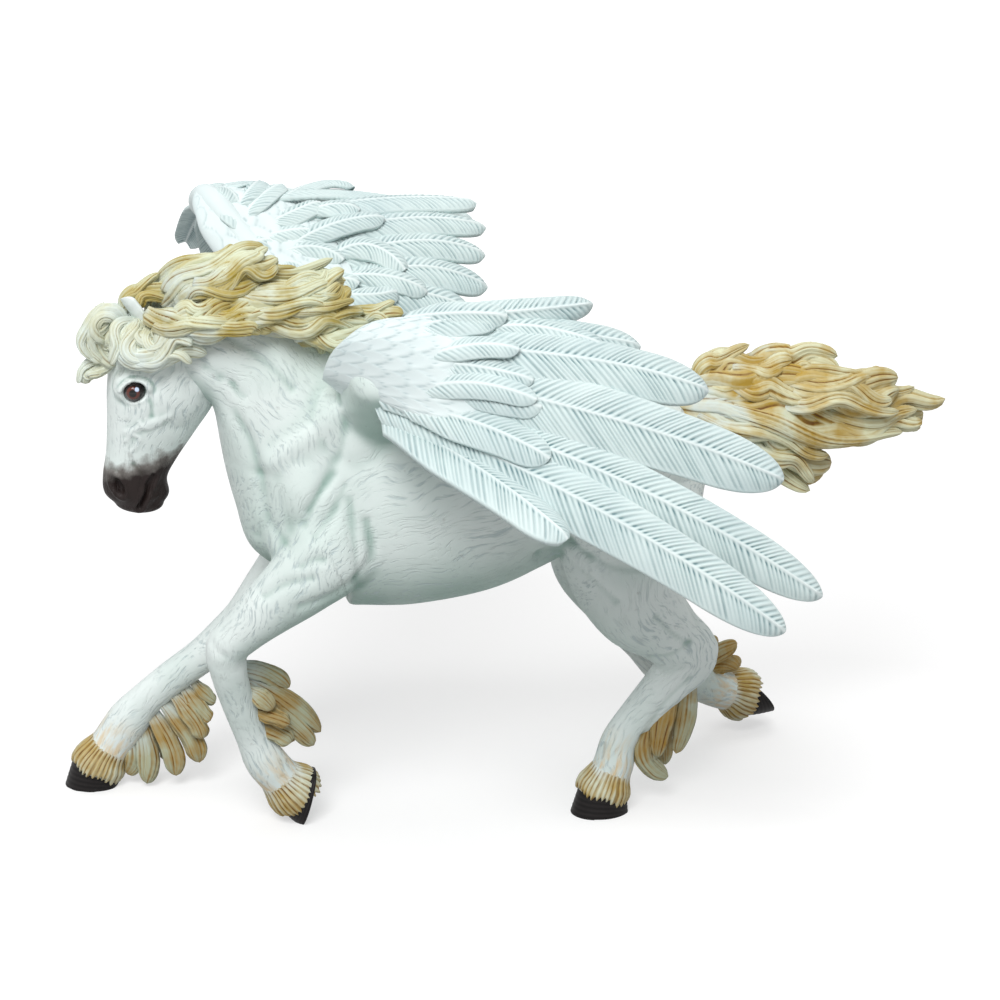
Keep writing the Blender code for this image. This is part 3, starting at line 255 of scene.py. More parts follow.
TAIL = (
    (1.7, (35, 0, 99.5), (37.5, -1, 102.2), (40, -2, 102.4), (42.5, -2, 101), (46, -1, 99)),
    (3.9, (34, 1, 95), (43, 0, 97), (47.5, -1, 100), (50.5, -2, 103.5), (54.5, -2, 105.2), (66, -2, 103.5)),
    (4.4, (46, 2, 99), (56.5, 1, 101.5), (62, 0, 102.5), (67.5, -1, 103.5), (72, -2, 104.5), (78, -5, 100.5)),
    (4.2, (42, -2, 99), (51, -4, 101), (58.5, -5, 101.5), (64, -6, 101), (73.5, -7, 102)),
    (4.0, (54, -2, 98.5), (65, -5, 99), (71.5, -7, 100), (79, -7, 100), (86.5, -6, 99), (93.5, -4, 100)),
    (4.0, (56, -4, 97.5), (67, -7, 98), (74.5, -9, 98.5), (82.5, -8, 96.5), (94, -5, 96)),
    (3.8, (50, 0, 97), (63.5, -3, 95.5), (74.5, -5, 94), (86, -4, 93), (94, -2, 93), (107.5, 0, 92.5)),
    (4.2, (38, -2, 97), (48, -5, 96.5), (56, -7, 96), (63, -8, 95), (74.5, -7, 90), (84.5, -6, 88.5),
     (92.5, -4, 88.5), (101, -2, 88.5)),
    (4.2, (37, -2, 95.5), (46, -5, 95), (55, -7, 93), (64.5, -7, 90), (72.5, -6, 87.5), (85, -5, 85)),
    (4.4, (38, 0, 94.5), (49, -3, 92), (57, -5, 89), (63, -6, 85), (70, -5, 83), (78.5, -3, 79)),
    (4.0, (40, 2, 94), (52.5, 0, 89), (60.5, -1, 83.5), (66.5, -2, 80), (77.5, -2, 77.5)),
    (4.6, (35, 3, 96.5), (49.5, 5, 96), (62, 6, 95.5), (75, 7, 94.5), (85, 6, 92), (93.5, 4, 90)),
    (4.4, (36, 3, 95.5), (50, 6, 92), (63, 7, 88.5), (75.5, 7, 85), (85, 5, 84)),
    (4.2, (40, 3, 98), (57, 6, 98.5), (67, 6, 99), (80.5, 4, 98)),
    (4.0, (46, 4, 92), (60.5, 5, 85.5), (69.5, 4, 82), (75.5, 3, 79.5)),
    (3.6, (72, 0, 92), (85.5, 0, 90.5), (93.5, 1, 90), (103.5, 3, 88.5)),
    (6.0, (32, 0, 95), (45, 0, 96), (60, 0, 93), (75, 0, 92), (88, -1, 91.5)),
)
# Feathering on the fetlocks: half width, then root, middle and tip of each leaf
FEATHERING = (
    (1.8, (-69, 25, 29), (-66, 24, 25), (-63.5, 24, 22.5)),
    (2.2, (-71, 25, 27.5), (-67.5, 23, 22), (-65, 22, 19)),
    (2.4, (-73.5, 25.5, 26), (-69, 22, 20), (-67, 21, 15)),
    (2.7, (-76, 26, 23.5), (-70.5, 23, 16), (-68, 22, 8.5)),
    (2.6, (-78.5, 27, 21), (-74.5, 24, 12.5), (-73.5, 23.5, 5)),
    (2.7, (-81, 28, 18.5), (-79.5, 26, 10), (-80.3, 25.5, 2.8)),
    (2.3, (-84, 28.5, 16), (-83, 27, 9.5), (-84.5, 28, 4.5)),
    (2.4, (-74, 27, 24.5), (-69.5, 30, 17), (-67.5, 31, 11.5)),
    (2.5, (-78.5, 28.5, 19.5), (-74.5, 31.5, 10), (-74, 32.5, 4.5)),
    (2.3, (-83, 29.5, 16), (-80.5, 32.5, 7.5), (-81, 33.5, 2.5)),
    (2.3, (-63, -4.5, 43), (-55, -2, 40), (-49.5, 0, 35)),
    (2.7, (-62.5, -4, 40.5), (-51.5, -1.5, 32.5), (-42.3, 1.5, 22.5)),
    (2.0, (-61, -5, 37.5), (-57, -6, 35.5), (-54.5, -6, 32.5)),
    (2.5, (-61, -3.5, 36), (-51, -2, 28.5), (-44.2, 0, 20)),
    (2.0, (-59.5, -4, 32), (-54.5, -5, 30.5), (-50.5, -5, 28)),
    (2.2, (-59.5, -3, 29), (-53.5, -3, 25.5), (-50, -3, 22.5)),
    (2.3, (-62, -2, 38.5), (-53, 2.5, 32.5), (-46.8, 4.5, 27)),
    (2.3, (-60, -1.5, 32), (-52.5, 3, 24.5), (-48, 4.5, 19.5)),
    (2.3, (42, -13, 36), (41.5, -13, 25), (39.5, -12, 14)),
    (2.5, (39, -13.5, 32), (35.5, -15, 24), (34.5, -14, 14.5)),
    (2.6, (34, -13, 25.5), (31, -14, 15.5), (37.5, -12.5, 8.5)),
    (2.1, (37, -12, 28), (37, -10, 18.5), (38, -9, 10)),
    (2.2, (39, -12, 32), (39.5, -9, 24), (38.5, -8, 16)),
    (1.8, (52, 16.5, 23), (55.5, 15, 28.5), (58.5, 15, 30)),
    (2.1, (54.5, 18, 21), (59.5, 17, 26), (64, 17, 28)),
    (2.5, (56, 19.5, 19), (60.5, 18.5, 22.5), (65, 18.5, 20.5)),
    (2.2, (57, 21, 18.5), (63, 22, 20.5), (67, 22.5, 19.5)),
    (2.2, (56.5, 22, 18.5), (62, 26, 20), (66.5, 27, 19)),
)

# Sculpting tool strokes in the side plane: places are x and z on the drawing
NECK_AND_CHEST_STROKES = (
    ((-64.5, 111.5), (-63, 106), (-60, 100.5), (-58, 95.5), (-56.5, 90), (-55, 82), (-57, 75)),
    ((-61.5, 110.5), (-60.5, 103), (-58, 97.5), (-57, 90.5)),
    ((-67, 114.5), (-63, 112), (-59.5, 108)),
    ((-63.5, 121.5), (-58, 118), (-52.5, 113.5), (-49, 109.5)),
    ((-38.5, 104), (-39.5, 96), (-43, 89.5), (-47, 83)),
    ((-41, 90.5), (-44.5, 86), (-48, 80)),
    ((-39, 88), (-41.5, 82.5), (-46, 77.5)),
    ((-56.5, 90), (-56, 82), (-52, 75)),
)
SHOULDER_RIDGE = ((-40.5, 104.5), (-45, 100), (-50, 96.5), (-53.5, 93.5))
ELBOW_STROKES = (
    ((-57, 64), (-52.5, 67), (-47, 68.5)),
    ((-49, 71), (-46.5, 72.5), (-44.5, 72.5)),
    ((-49.5, 61.5), (-43, 63.5), (-37.5, 66.5)),
    ((-35.5, 63.5), (-37, 73.5), (-38, 85)),
    ((-34.5, 80), (-33.5, 72), (-36.5, 66)),
)
FLANK_STROKES = (
    ((5, 68), (10, 70), (15.5, 67.5)),
    ((5.5, 67.5), (9.5, 68.5), (12, 70.5)),
    ((6, 66.5), (10, 67), (15.5, 63), (21.5, 57)),
    ((11.5, 71), (20, 65.5), (28.5, 64)),
)
NEAR_HIND_STROKES = (
    ((31, 52.5), (35.5, 47.5), (39.5, 44.5)),
    ((31, 41), (35.5, 42), (40, 44.5)),
    ((40, 54.5), (43, 48), (46.5, 43.5)),
    ((40.5, 35), (34.5, 28.5), (30.5, 20.5)),
    ((30.5, 20.5), (29.5, 17), (30.5, 11.5)),
)
NEAR_KNEE_STROKE = ((-69.5, 55.5), (-68, 51), (-65.5, 49))
CHEEK_RIM = (
    (-74.5, 114.5), (-78.5, 109.5), (-77.5, 105), (-75, 101.5), (-70.5, 101), (-66.5, 105.5),
    (-65, 110), (-67, 114.5), (-70, 116.5),
)
FACE_VEINS = (
    ((-84, 100.5), (-81, 102), (-78, 103), (-75, 104)),
    ((-84.5, 98.5), (-83, 100), (-81.5, 99), (-82.5, 97), (-83.5, 96)),
    ((-81.5, 103), (-80, 101.5), (-77, 102.5)),
    ((-83.5, 106), (-84, 104)),
)
BELOW_EYE = ((-80, 109), (-79, 107), (-79, 104.5))
MOUTH_LINE = ((-79, 90), (-80, 88), (-80.5, 85.5), (-82, 83))
CHIN_LINE = ((-79, 86), (-77, 85), (-78.5, 83))
BEHIND_NOSTRIL = ((-83, 93), (-81.5, 91), (-80.5, 88))
BROW = ((-83.5, 112.5), (-82, 113.5), (-80, 112.5), (-79, 111))
# Wing roots in the body, near and far: x, y, z, half depth and half width
WING_ROOTS = (
    ((-26, -4, 98, 9, 17), (-28.5, -11, 103.5, 8.5, 12), (-31, -18, 109.5, 7.5, 8.5), (-33, -24, 114, 6, 6)),
    ((-27, 2, 99, 9, 17), (-30, 8, 104.5, 8, 11), (-33.5, 13, 109, 6.5, 6.5), (-37.5, 19, 114, 5, 5),
     (-44, 30, 122, 4, 4)),
)
# The nostril's middle, then both ends of the mouth, as x and z
NOSTRIL = (-86.4, 87.8)
MOUTH = ((-82.0, 82.4), (-78.6, 89.6))

# The middle lines of barrel, neck and face, which hair strokes follow: x and z
BARREL_LINE = ((-58, 70), (-45, 82), (-20, 80), (5, 78), (25, 82), (44, 84))
NECK_LINE = ((-36, 84), (-46, 92), (-53, 105), (-60, 112), (-70, 116))
FACE_LINE = ((-70, 121), (-76, 112), (-79, 102), (-81, 93), (-82, 83))


class Side(Enum):
    """The two sides of the figure, with the sign of its lateral axis."""

    NEAR = -1
    FAR = 1


# The turns of a rounded end, from its rim towards its pole
ROUND_OFF = np.array([math.pi / 12 * k for k in range(1, 6)])


def spline(rows: Array | tuple, steps: int) -> Array:
    """Draw a Catmull-Rom curve through rows of numbers.

    Args:
        rows: The rows that the curve passes through.
        steps: How many points it has from one row to the next.

    Returns:
        The curve's points, the last row included.
    """
    rows = np.array(rows, dtype=float)
    ends = np.vstack([2 * rows[0] - rows[1], rows, 2 * rows[-1] - rows[-2]])
    before, start, end, after = ends[:-3], ends[1:-2], ends[2:-1], ends[3:]
    t = np.linspace(0, 1, steps, endpoint=False)[None, :, None]
    before, start, end, after = (part[:, None, :] for part in (before, start, end, after))
    points = 0.5 * (2 * start + (end - before) * t + (2 * before - 5 * start + 4 * end - after) * t ** 2
                    + (3 * start - before - 3 * end + after) * t ** 3)
    return np.vstack([points.reshape(-1, rows.shape[1]), rows[-1]])


def unit(vectors: Array) -> Array:
    """Return vectors at length one."""
    return vectors / np.maximum(np.linalg.norm(vectors, axis=-1, keepdims=True), 1e-9)


def degrees_from(vectors: Array, way: Point) -> Array:
    """Return the angles between unit vectors and one direction."""
    return np.degrees(np.arccos(np.clip(vectors @ unit(np.array(way)), -1, 1)))


def tangents(points: Array) -> Array:
    """Return the unit direction of a curve at each of its points."""
    return unit(np.gradient(points, axis=0))


def smooth(values: Array, low: float, high: float) -> Array:
    """Rise smoothly from 0 at one value to 1 at another.

    Args:
        values: The values to judge.
        low: Where the result is 0.
        high: Where the result is 1.

    Returns:
        A share from 0 to 1 for each value.
    """
    share = np.clip((values - low) / (high - low), 0, 1)
    return share * share * (3 - 2 * share)


def arc(root: Point, middle: Point, tip: Point, places: Array) -> Array:
    """Draw the parabola through three points.

    Args:
        root: The first point.
        middle: The point halfway.
        tip: The last point.
        places: Shares of the way from root to tip.

    Returns:
        One point for each place.
    """
    root, middle, tip = (np.array(p, dtype=float) for p in (root, middle, tip))
    bend = 2 * middle - (root + tip) / 2
    t = np.asarray(places, dtype=float)[:, None]
    return (1 - t) ** 2 * root + 2 * t * (1 - t) * bend + t ** 2 * tip


def from_line(x: Array, z: Array, line: tuple) -> tuple[Array, Array, Array]:
    """Measure places in the side plane against a line.

    Args:
        x: Places along the figure.
        z: Heights.
        line: The line's points, x and z.

    Returns:
        The distance to the line, the way along it, and the signed offset across it.
    """
    points = spline(line, 5)
    best = np.full(len(x), 1e9)
    along = np.zeros(len(x))
    across = np.zeros(len(x))
    travelled = 0.0
    for (ax, az), (bx, bz) in zip(points, points[1:]):
        dx, dz = bx - ax, bz - az
        length = max(math.hypot(dx, dz), 1e-9)
        t = ((x - ax) * dx + (z - az) * dz) / length ** 2
        near = np.clip(t, 0, 1)
        away = np.hypot(x - ax - near * dx, z - az - near * dz)
        closer = away < best
        best[closer] = away[closer]
        along[closer] = travelled + t[closer] * length
        across[closer] = ((x - ax) * dz - (z - az) * dx)[closer] / length
        travelled += length
    return best, along, across


@dataclass
class Clay:
    """Gathers closed shells on the drawing and makes one piece of them."""

    points: list[Array] = field(default_factory=list)
    quads: list[Array] = field(default_factory=list)
    fans: list[Array] = field(default_factory=list)
    marks: dict[str, list[Array]] = field(default_factory=dict)
    count: int = 0

    def shell(self, rings: Array, start: Array, end: Array, **marks: Array) -> None:
        """Bridge equal rings of points and close both ends on a pole.

        Args:
            rings: Points by ring and place round it.
            start: The pole before the first ring.
            end: The pole after the last ring.
            **marks: Paint masks by ring and place; a pole takes its ring's mean.
        """
        rows, sides = rings.shape[:2]
        index = np.arange(rows * sides).reshape(rows, sides)
        turned = np.roll(index, -1, axis=1)
        quads = np.stack([index[:-1], turned[:-1], turned[1:], index[1:]], axis=-1).reshape(-1, 4)
        first, last = rows * sides, rows * sides + 1
        low = np.stack([np.full(sides, first), turned[0], index[0]], axis=-1)
        high = np.stack([np.full(sides, last), index[-1], turned[-1]], axis=-1)
        points = np.vstack([rings.reshape(-1, 3), start, end])
        corners = points[quads]
        heart = points.mean(axis=0)
        bulk = np.einsum("ij,ij->i", corners[:, 0] - heart,
                         np.cross(corners[:, 1] - heart, corners[:, 2] - heart)).sum()
        if bulk < 0:
            quads, low, high = quads[:, ::-1], low[:, ::-1], high[:, ::-1]
        self.points.append(points)
        self.quads.append(quads + self.count)
        self.fans.append(np.vstack([low, high]) + self.count)
        for name, mask in marks.items():
            mask = np.broadcast_to(mask, (rows, sides))
            full = np.concatenate([mask.ravel(), [mask[0].mean(), mask[-1].mean()]])
            self.marks.setdefault(name, []).append(full)
        self.count += len(points)

    def piece(self, name: str) -> Piece:
        """Make the gathered shells one object at the frame's origin.

        Args:
            name: The piece's name.

        Returns:
            The object, selected and active.
        """
        points = np.vstack(self.points) * MM + CENTRE_SHIFT
        faces = np.vstack(self.quads).tolist() + np.vstack(self.fans).tolist()
        mesh = bpy.data.meshes.new(name)
        mesh.from_pydata(points.tolist(), [], faces)
        for mark, values in self.marks.items():
            write_mask(mesh, mark, np.concatenate(values))
        piece = bpy.data.objects.new(name, mesh)
        bpy.context.scene.collection.objects.link(piece)
        pick(piece)
        bpy.ops.object.shade_smooth()
        return piece


def pick(piece: Piece) -> None:
    """Select one object alone and make it active."""
    bpy.ops.object.select_all(action="DESELECT")
    piece.select_set(True)
    bpy.context.view_layer.objects.active = piece


def write_mask(mesh: Mesh, name: str, values: Array) -> None:
    """Store one number for each point of a mesh, for its paint to read."""
    mask = mesh.attributes.new(name, "FLOAT", "POINT")
    mask.data.foreach_set("value", np.asarray(values, dtype=np.float32))


def write_flow(mesh: Mesh, values: Array) -> None:
    """Store for each point how far it lies along, over and across its limb."""
    flow = mesh.attributes.new("flow", "FLOAT_VECTOR", "POINT")
    flow.data.foreach_set("vector", np.asarray(values, dtype=np.float32).ravel())


def read_points(mesh: Mesh) -> tuple[Array, Array]:
    """Return a mesh's points on the drawing and its unit normals."""
    points = np.empty(len(mesh.vertices) * 3)
    mesh.vertices.foreach_get("co", points)
    normals = np.empty(len(mesh.vertices) * 3)
    mesh.vertex_normals.foreach_get("vector", normals)
    return (points.reshape(-1, 3) - CENTRE_SHIFT) / MM, normals.reshape(-1, 3)


def write_points(mesh: Mesh, points: Array) -> None:
    """Put points of the drawing back into a mesh."""
    mesh.vertices.foreach_set("co", (points * MM + CENTRE_SHIFT).ravel())
    mesh.update()


def eased(values: Array, edges: Array, rounds: int) -> Array:
    """Spread values over a mesh by taking each point's mean with its neighbours.

    Args:
        values: One row for each point.
        edges: Pairs of joined points.
        rounds: How often the mean is taken.

    Returns:
        The spread values, in the same shape.
    """
    size = len(values)
    flat = values.reshape(size, -1).copy()
    share = 1.0 / (np.bincount(edges.ravel(), minlength=size) + 1)
    for _ in range(rounds):
        for column in range(flat.shape[1]):
            here = flat[:, column]
            total = here + np.bincount(edges[:, 0], here[edges[:, 1]], size)
            total += np.bincount(edges[:, 1], here[edges[:, 0]], size)
            flat[:, column] = total * share
    return flat.reshape(values.shape)


def recesses(mesh: Mesh, rounds: int, depth: float) -> Array:
    """Find where a surface lies lower than the surface round it.

    Args:
        mesh: The mesh to look at.
        rounds: How wide the look round is.
        depth: The depth in millimetres that counts as a full recess.

    Returns:
        A share from 0 on open surface to 1 in recesses, for each point.
    """
    points, normals = read_points(mesh)
    edges = np.empty(len(mesh.edges) * 2, dtype=np.int32)
    mesh.edges.foreach_get("vertices", edges)
    level = eased(points, edges.reshape(-1, 2), rounds)
    return np.clip(np.einsum("ij,ij->i", level - points, normals) / depth, 0, 1)


@dataclass(frozen=True)
class Stroke:
    """One pass of a sculpting tool over the side of the figure.

    The tool pushes the surface out where its height is positive and presses a
    groove where it is negative. It works on the sides in its lateral range.
    """

    line: tuple
    width: float
    height: float
    lateral: tuple[float, float] = (-40.0, 40.0)

    def press(self, points: Array, normals: Array) -> Array:
        """Return how far the stroke moves each point along its normal."""
        away, _, _ = from_line(points[:, 0], points[:, 2], self.line)
        side = smooth(np.abs(normals[:, 1]), 0.12, 0.5)
        low, high = self.lateral
        inside = (points[:, 1] > low) & (points[:, 1] < high)
        return self.height * np.exp(-(away / self.width) ** 2) * side * inside


def lofted(clay: Clay, stations: list[Row], side: Point = (0, 1, 0), sides: int = 48,
           steps: int = 10) -> None:
    """Build a rounded limb.

    Args:
        clay: Where the limb's shell goes.
        stations: Rows of x, y, z, half depth and half width.
        side: The direction in which the half width lies.
        sides: Points round the limb.
        steps: Rings from one station to the next.
    """
    rows = spline(stations, steps)
    centres, sizes = rows[:, :3], np.maximum(rows[:, 3:5], 0.3)
    along = tangents(centres)
    side = np.array(side, dtype=float)
    across = unit(side - along * (along @ side)[:, None])
    up = np.cross(along, across)
    turn = np.linspace(0, 2 * math.pi, sides, endpoint=False)[None, :, None]
    spread = (np.cos(turn) * (sizes[:, 1:2] * across)[:, None]
              + np.sin(turn) * (sizes[:, 0:1] * up)[:, None])
    rings = centres[:, None] + spread
    round_off = ROUND_OFF[:, None, None]
    caps = []
    for place, outward in ((0, -along[0]), (-1, along[-1])):
        reach = outward * sizes[place].min() * 0.7
        caps.append(centres[place] + spread[place] * np.cos(round_off) + reach * np.sin(round_off))
        caps.append(centres[place] + reach)
    rings = np.vstack([caps[0][::-1], rings, caps[2]])
    clay.shell(rings, caps[1], caps[3])


def lofted_between(clay: Clay, stations: list[Row], sides: int = 64, steps: int = 10) -> None:
    """Build a body between two facing outlines of the side view.

    Args:
        clay: Where the body's shell goes.
        stations: Rows of two facing points, a half width and a taper.
        sides: Points round the body.
        steps: Rings from one station to the next.
    """
    rows = spline(stations, steps)
    flat = np.zeros(len(rows))
    low = np.stack([rows[:, 0], flat, rows[:, 1]], axis=1)
    high = np.stack([rows[:, 2], flat, rows[:, 3]], axis=1)
    turn = np.linspace(0, 2 * math.pi, sides, endpoint=False)[None, :, None]
    middle, half = (low + high) / 2, (low - high) / 2
    wide = rows[:, 4][:, None, None] * np.array((0, 1, 0)) * np.sin(turn)
    spread = half[:, None] * np.cos(turn) + wide * (1 + rows[:, 5][:, None, None] * np.cos(turn))
    rings = middle[:, None] + spread
    round_off = ROUND_OFF[:, None, None]
    ends = []
    for place, inner in ((0, 1), (-1, -2)):
        size = min(np.linalg.norm(half[place]), abs(rows[place, 4]))
        reach = unit(middle[place] - middle[inner]) * size * 0.6
        ends.append(middle[place] + spread[place] * np.cos(round_off) + reach * np.sin(round_off))
        ends.append(middle[place] + reach)
    clay.shell(np.vstack([ends[0][::-1], rings, ends[2]]), ends[1], ends[3])


def mass(clay: Clay, centre: Point, sizes: Point, lean: float = 0.0, sides: int = 32) -> None:
    """Build an ellipsoid of muscle.

    Args:
        clay: Where its shell goes.
        centre: Its middle.
        sizes: Its half sizes.
        lean: Its lean in the side plane, in degrees.
        sides: Points round it.
    """
    turn = math.radians(lean)
    rise = np.linspace(-math.pi / 2, math.pi / 2, 20)[1:-1, None]
    swing = np.linspace(0, 2 * math.pi, sides, endpoint=False)[None, :]
    x = sizes[0] * np.cos(rise) * np.cos(swing)
    y = sizes[1] * np.cos(rise) * np.sin(swing)
    z = sizes[2] * np.sin(rise) * np.ones_like(swing)
    cos, sin = math.cos(turn), math.sin(turn)
    leaned = np.stack([x * cos + z * sin, y, z * cos - x * sin], -1)
    pole = np.array((sizes[2] * sin, 0, sizes[2] * cos))
    centre = np.array(centre)
    clay.shell(centre + leaned, centre - pole, centre + pole)


def fuse(piece: Piece, step: float, rounds: int) -> None:
    """Turn overlapping shells into one skin and ease it.

    Args:
        piece: The object whose shells overlap.
        step: The size in metres of the skin's squares.
        rounds: How often the skin is eased.
    """
    pick(piece)
    skin = piece.modifiers.new("one_skin", "REMESH")
    skin.mode = "VOXEL"
    skin.voxel_size = step
    bpy.ops.object.modifier_apply(modifier=skin.name)
    if rounds:
        ease = piece.modifiers.new("eased_skin", "SMOOTH")
        ease.factor = 0.5
        ease.iterations = rounds
        bpy.ops.object.modifier_apply(modifier=ease.name)
    bpy.ops.object.shade_smooth()


@dataclass
class Body:
    """The trunk, the neck and the four legs, sculpted as one skin."""

    barrel_half_width: float = 19.5
    neck_half_width: float = 15.5
    thigh_half_width: float = 9.5
    forearm_half_width: float = 7.5
    cannon_half_width: float = 3.6
    skin_step: float = 0.00072
    ease_rounds: int = 14
    barrel_lean: float = 24.0
    flow_shift: float = 137.0
    gold_range: tuple[float, float] = (-17.0, -5.0)

    def clay(self) -> Clay:
        """Gather the masses of the trunk and limbs.

        Returns:
            The overlapping shells.
        """
        clay = Clay()
        lofted(clay, [(x, 0, z, high, self.barrel_half_width * share) for x, z, high, share in BARREL])
        lofted_between(clay, [row[:4] + (self.neck_half_width * row[4], 0.0) for row in NECK])
        for stations, upper in ((NEAR_HIND, self.thigh_half_width), (FAR_HIND, self.thigh_half_width),
                                (NEAR_FORE, self.forearm_half_width), (FAR_FORE, self.forearm_half_width)):
            half = len(stations) // 2
            widths = [upper] * half + [self.cannon_half_width] * (len(stations) - half)
            lofted(clay, [row[:4] + (row[4] * width,) for row, width in zip(stations, widths)])
        for centre, sizes, lean in MUSCLES:
            if centre[0] > HEAD_X:
                mass(clay, centre, sizes, lean)
        for root in WING_ROOTS:
            lofted(clay, root, side=(1, 0, 0))
        return clay

    def strokes(self) -> list[Stroke]:
        """List the tool strokes that shape its muscles and folds."""
        strokes = [Stroke(line, 1.3, -0.5) for line in NECK_AND_CHEST_STROKES]
        strokes.append(Stroke(SHOULDER_RIDGE, 2.6, 1.1))
        strokes += [Stroke(line, 1.3, -0.6, (-40, 0)) for line in ELBOW_STROKES]
        strokes += [Stroke(line, 1.4, -0.45) for line in FLANK_STROKES]
        strokes += [Stroke(line, 1.1, -0.45, (-40, -4)) for line in NEAR_HIND_STROKES]
        strokes.append(Stroke(NEAR_KNEE_STROKE, 1.0, -0.35, (-40, 3)))
        return strokes

    def flow(self, points: Array) -> tuple[Array, Array]:
        """Lay each point along, over and across the limb that it belongs to.

        Args:
            points: Points on the drawing.

        Returns:
            The three places for each point, and a mask that is 0 where limbs meet.
        """
        lines = [(BARREL_LINE, 0.0, 22.0), (NECK_LINE, 0.0, 18.0)]
        for stations, wide in ((NEAR_HIND, 9), (FAR_HIND, 9), (NEAR_FORE, 7), (FAR_FORE, 7)):
            lines.append((tuple((row[0], row[2]) for row in stations), stations[-1][1], wide))
        best = np.full(len(points), 1e9)
        second = np.full(len(points), 1e9)
        flow = np.zeros((len(points), 3))
        for number, (line, lateral, size) in enumerate(lines):
            away, along, across = from_line(points[:, 0], points[:, 2], line)
            near = np.hypot(away, (points[:, 1] - lateral) * 0.7) / size
            closer = near < best
            second = np.where(closer, best, np.minimum(second, near))
            best = np.where(closer, near, best)
            lean = math.radians(self.barrel_lean if number == 0 else 0.0)
            forward = along * math.cos(lean) - across * math.sin(lean)
            over = across * math.cos(lean) + along * math.sin(lean)
            places = np.stack([forward + self.flow_shift * number, over, points[:, 1]], axis=1)
            flow = np.where(closer[:, None], places, flow)
        return flow, smooth(second - best, 0.0, 0.12)

    def build(self) -> Piece:
        """Sculpt the body and paint its masks.

        Returns:
            The finished piece.
        """
        piece = self.clay().piece("body")
        fuse(piece, self.skin_step, self.ease_rounds)
        points, normals = read_points(piece.data)
        move = sum(stroke.press(points, normals) for stroke in self.strokes())
        points = points + normals * move[:, None]
        write_points(piece.data, points)
        flow, limb = self.flow(points)
        write_flow(piece.data, flow)
        write_mask(piece.data, "limb", limb)
        write_mask(piece.data, "recess", recesses(piece.data, rounds=8, depth=0.34))
        gold = np.zeros(len(points))
        for coronet, *_ in HOOVES:
            away = np.linalg.norm(points - np.array(coronet), axis=1)
            gold = np.maximum(gold, smooth(-away, *self.gold_range))
        write_mask(piece.data, "gold", gold)
        # Painted shade: surfaces that face down, above the lower legs, are marked for the coat's darker
        # grey-green.
        shade = smooth(-normals[:, 2], 0.0, 0.9) * smooth(points[:, 2], 20.0, 60.0)
        write_mask(piece.data, "shade", shade)
        write_mask(piece.data, "muzzle", np.zeros(len(points)))
        return piece


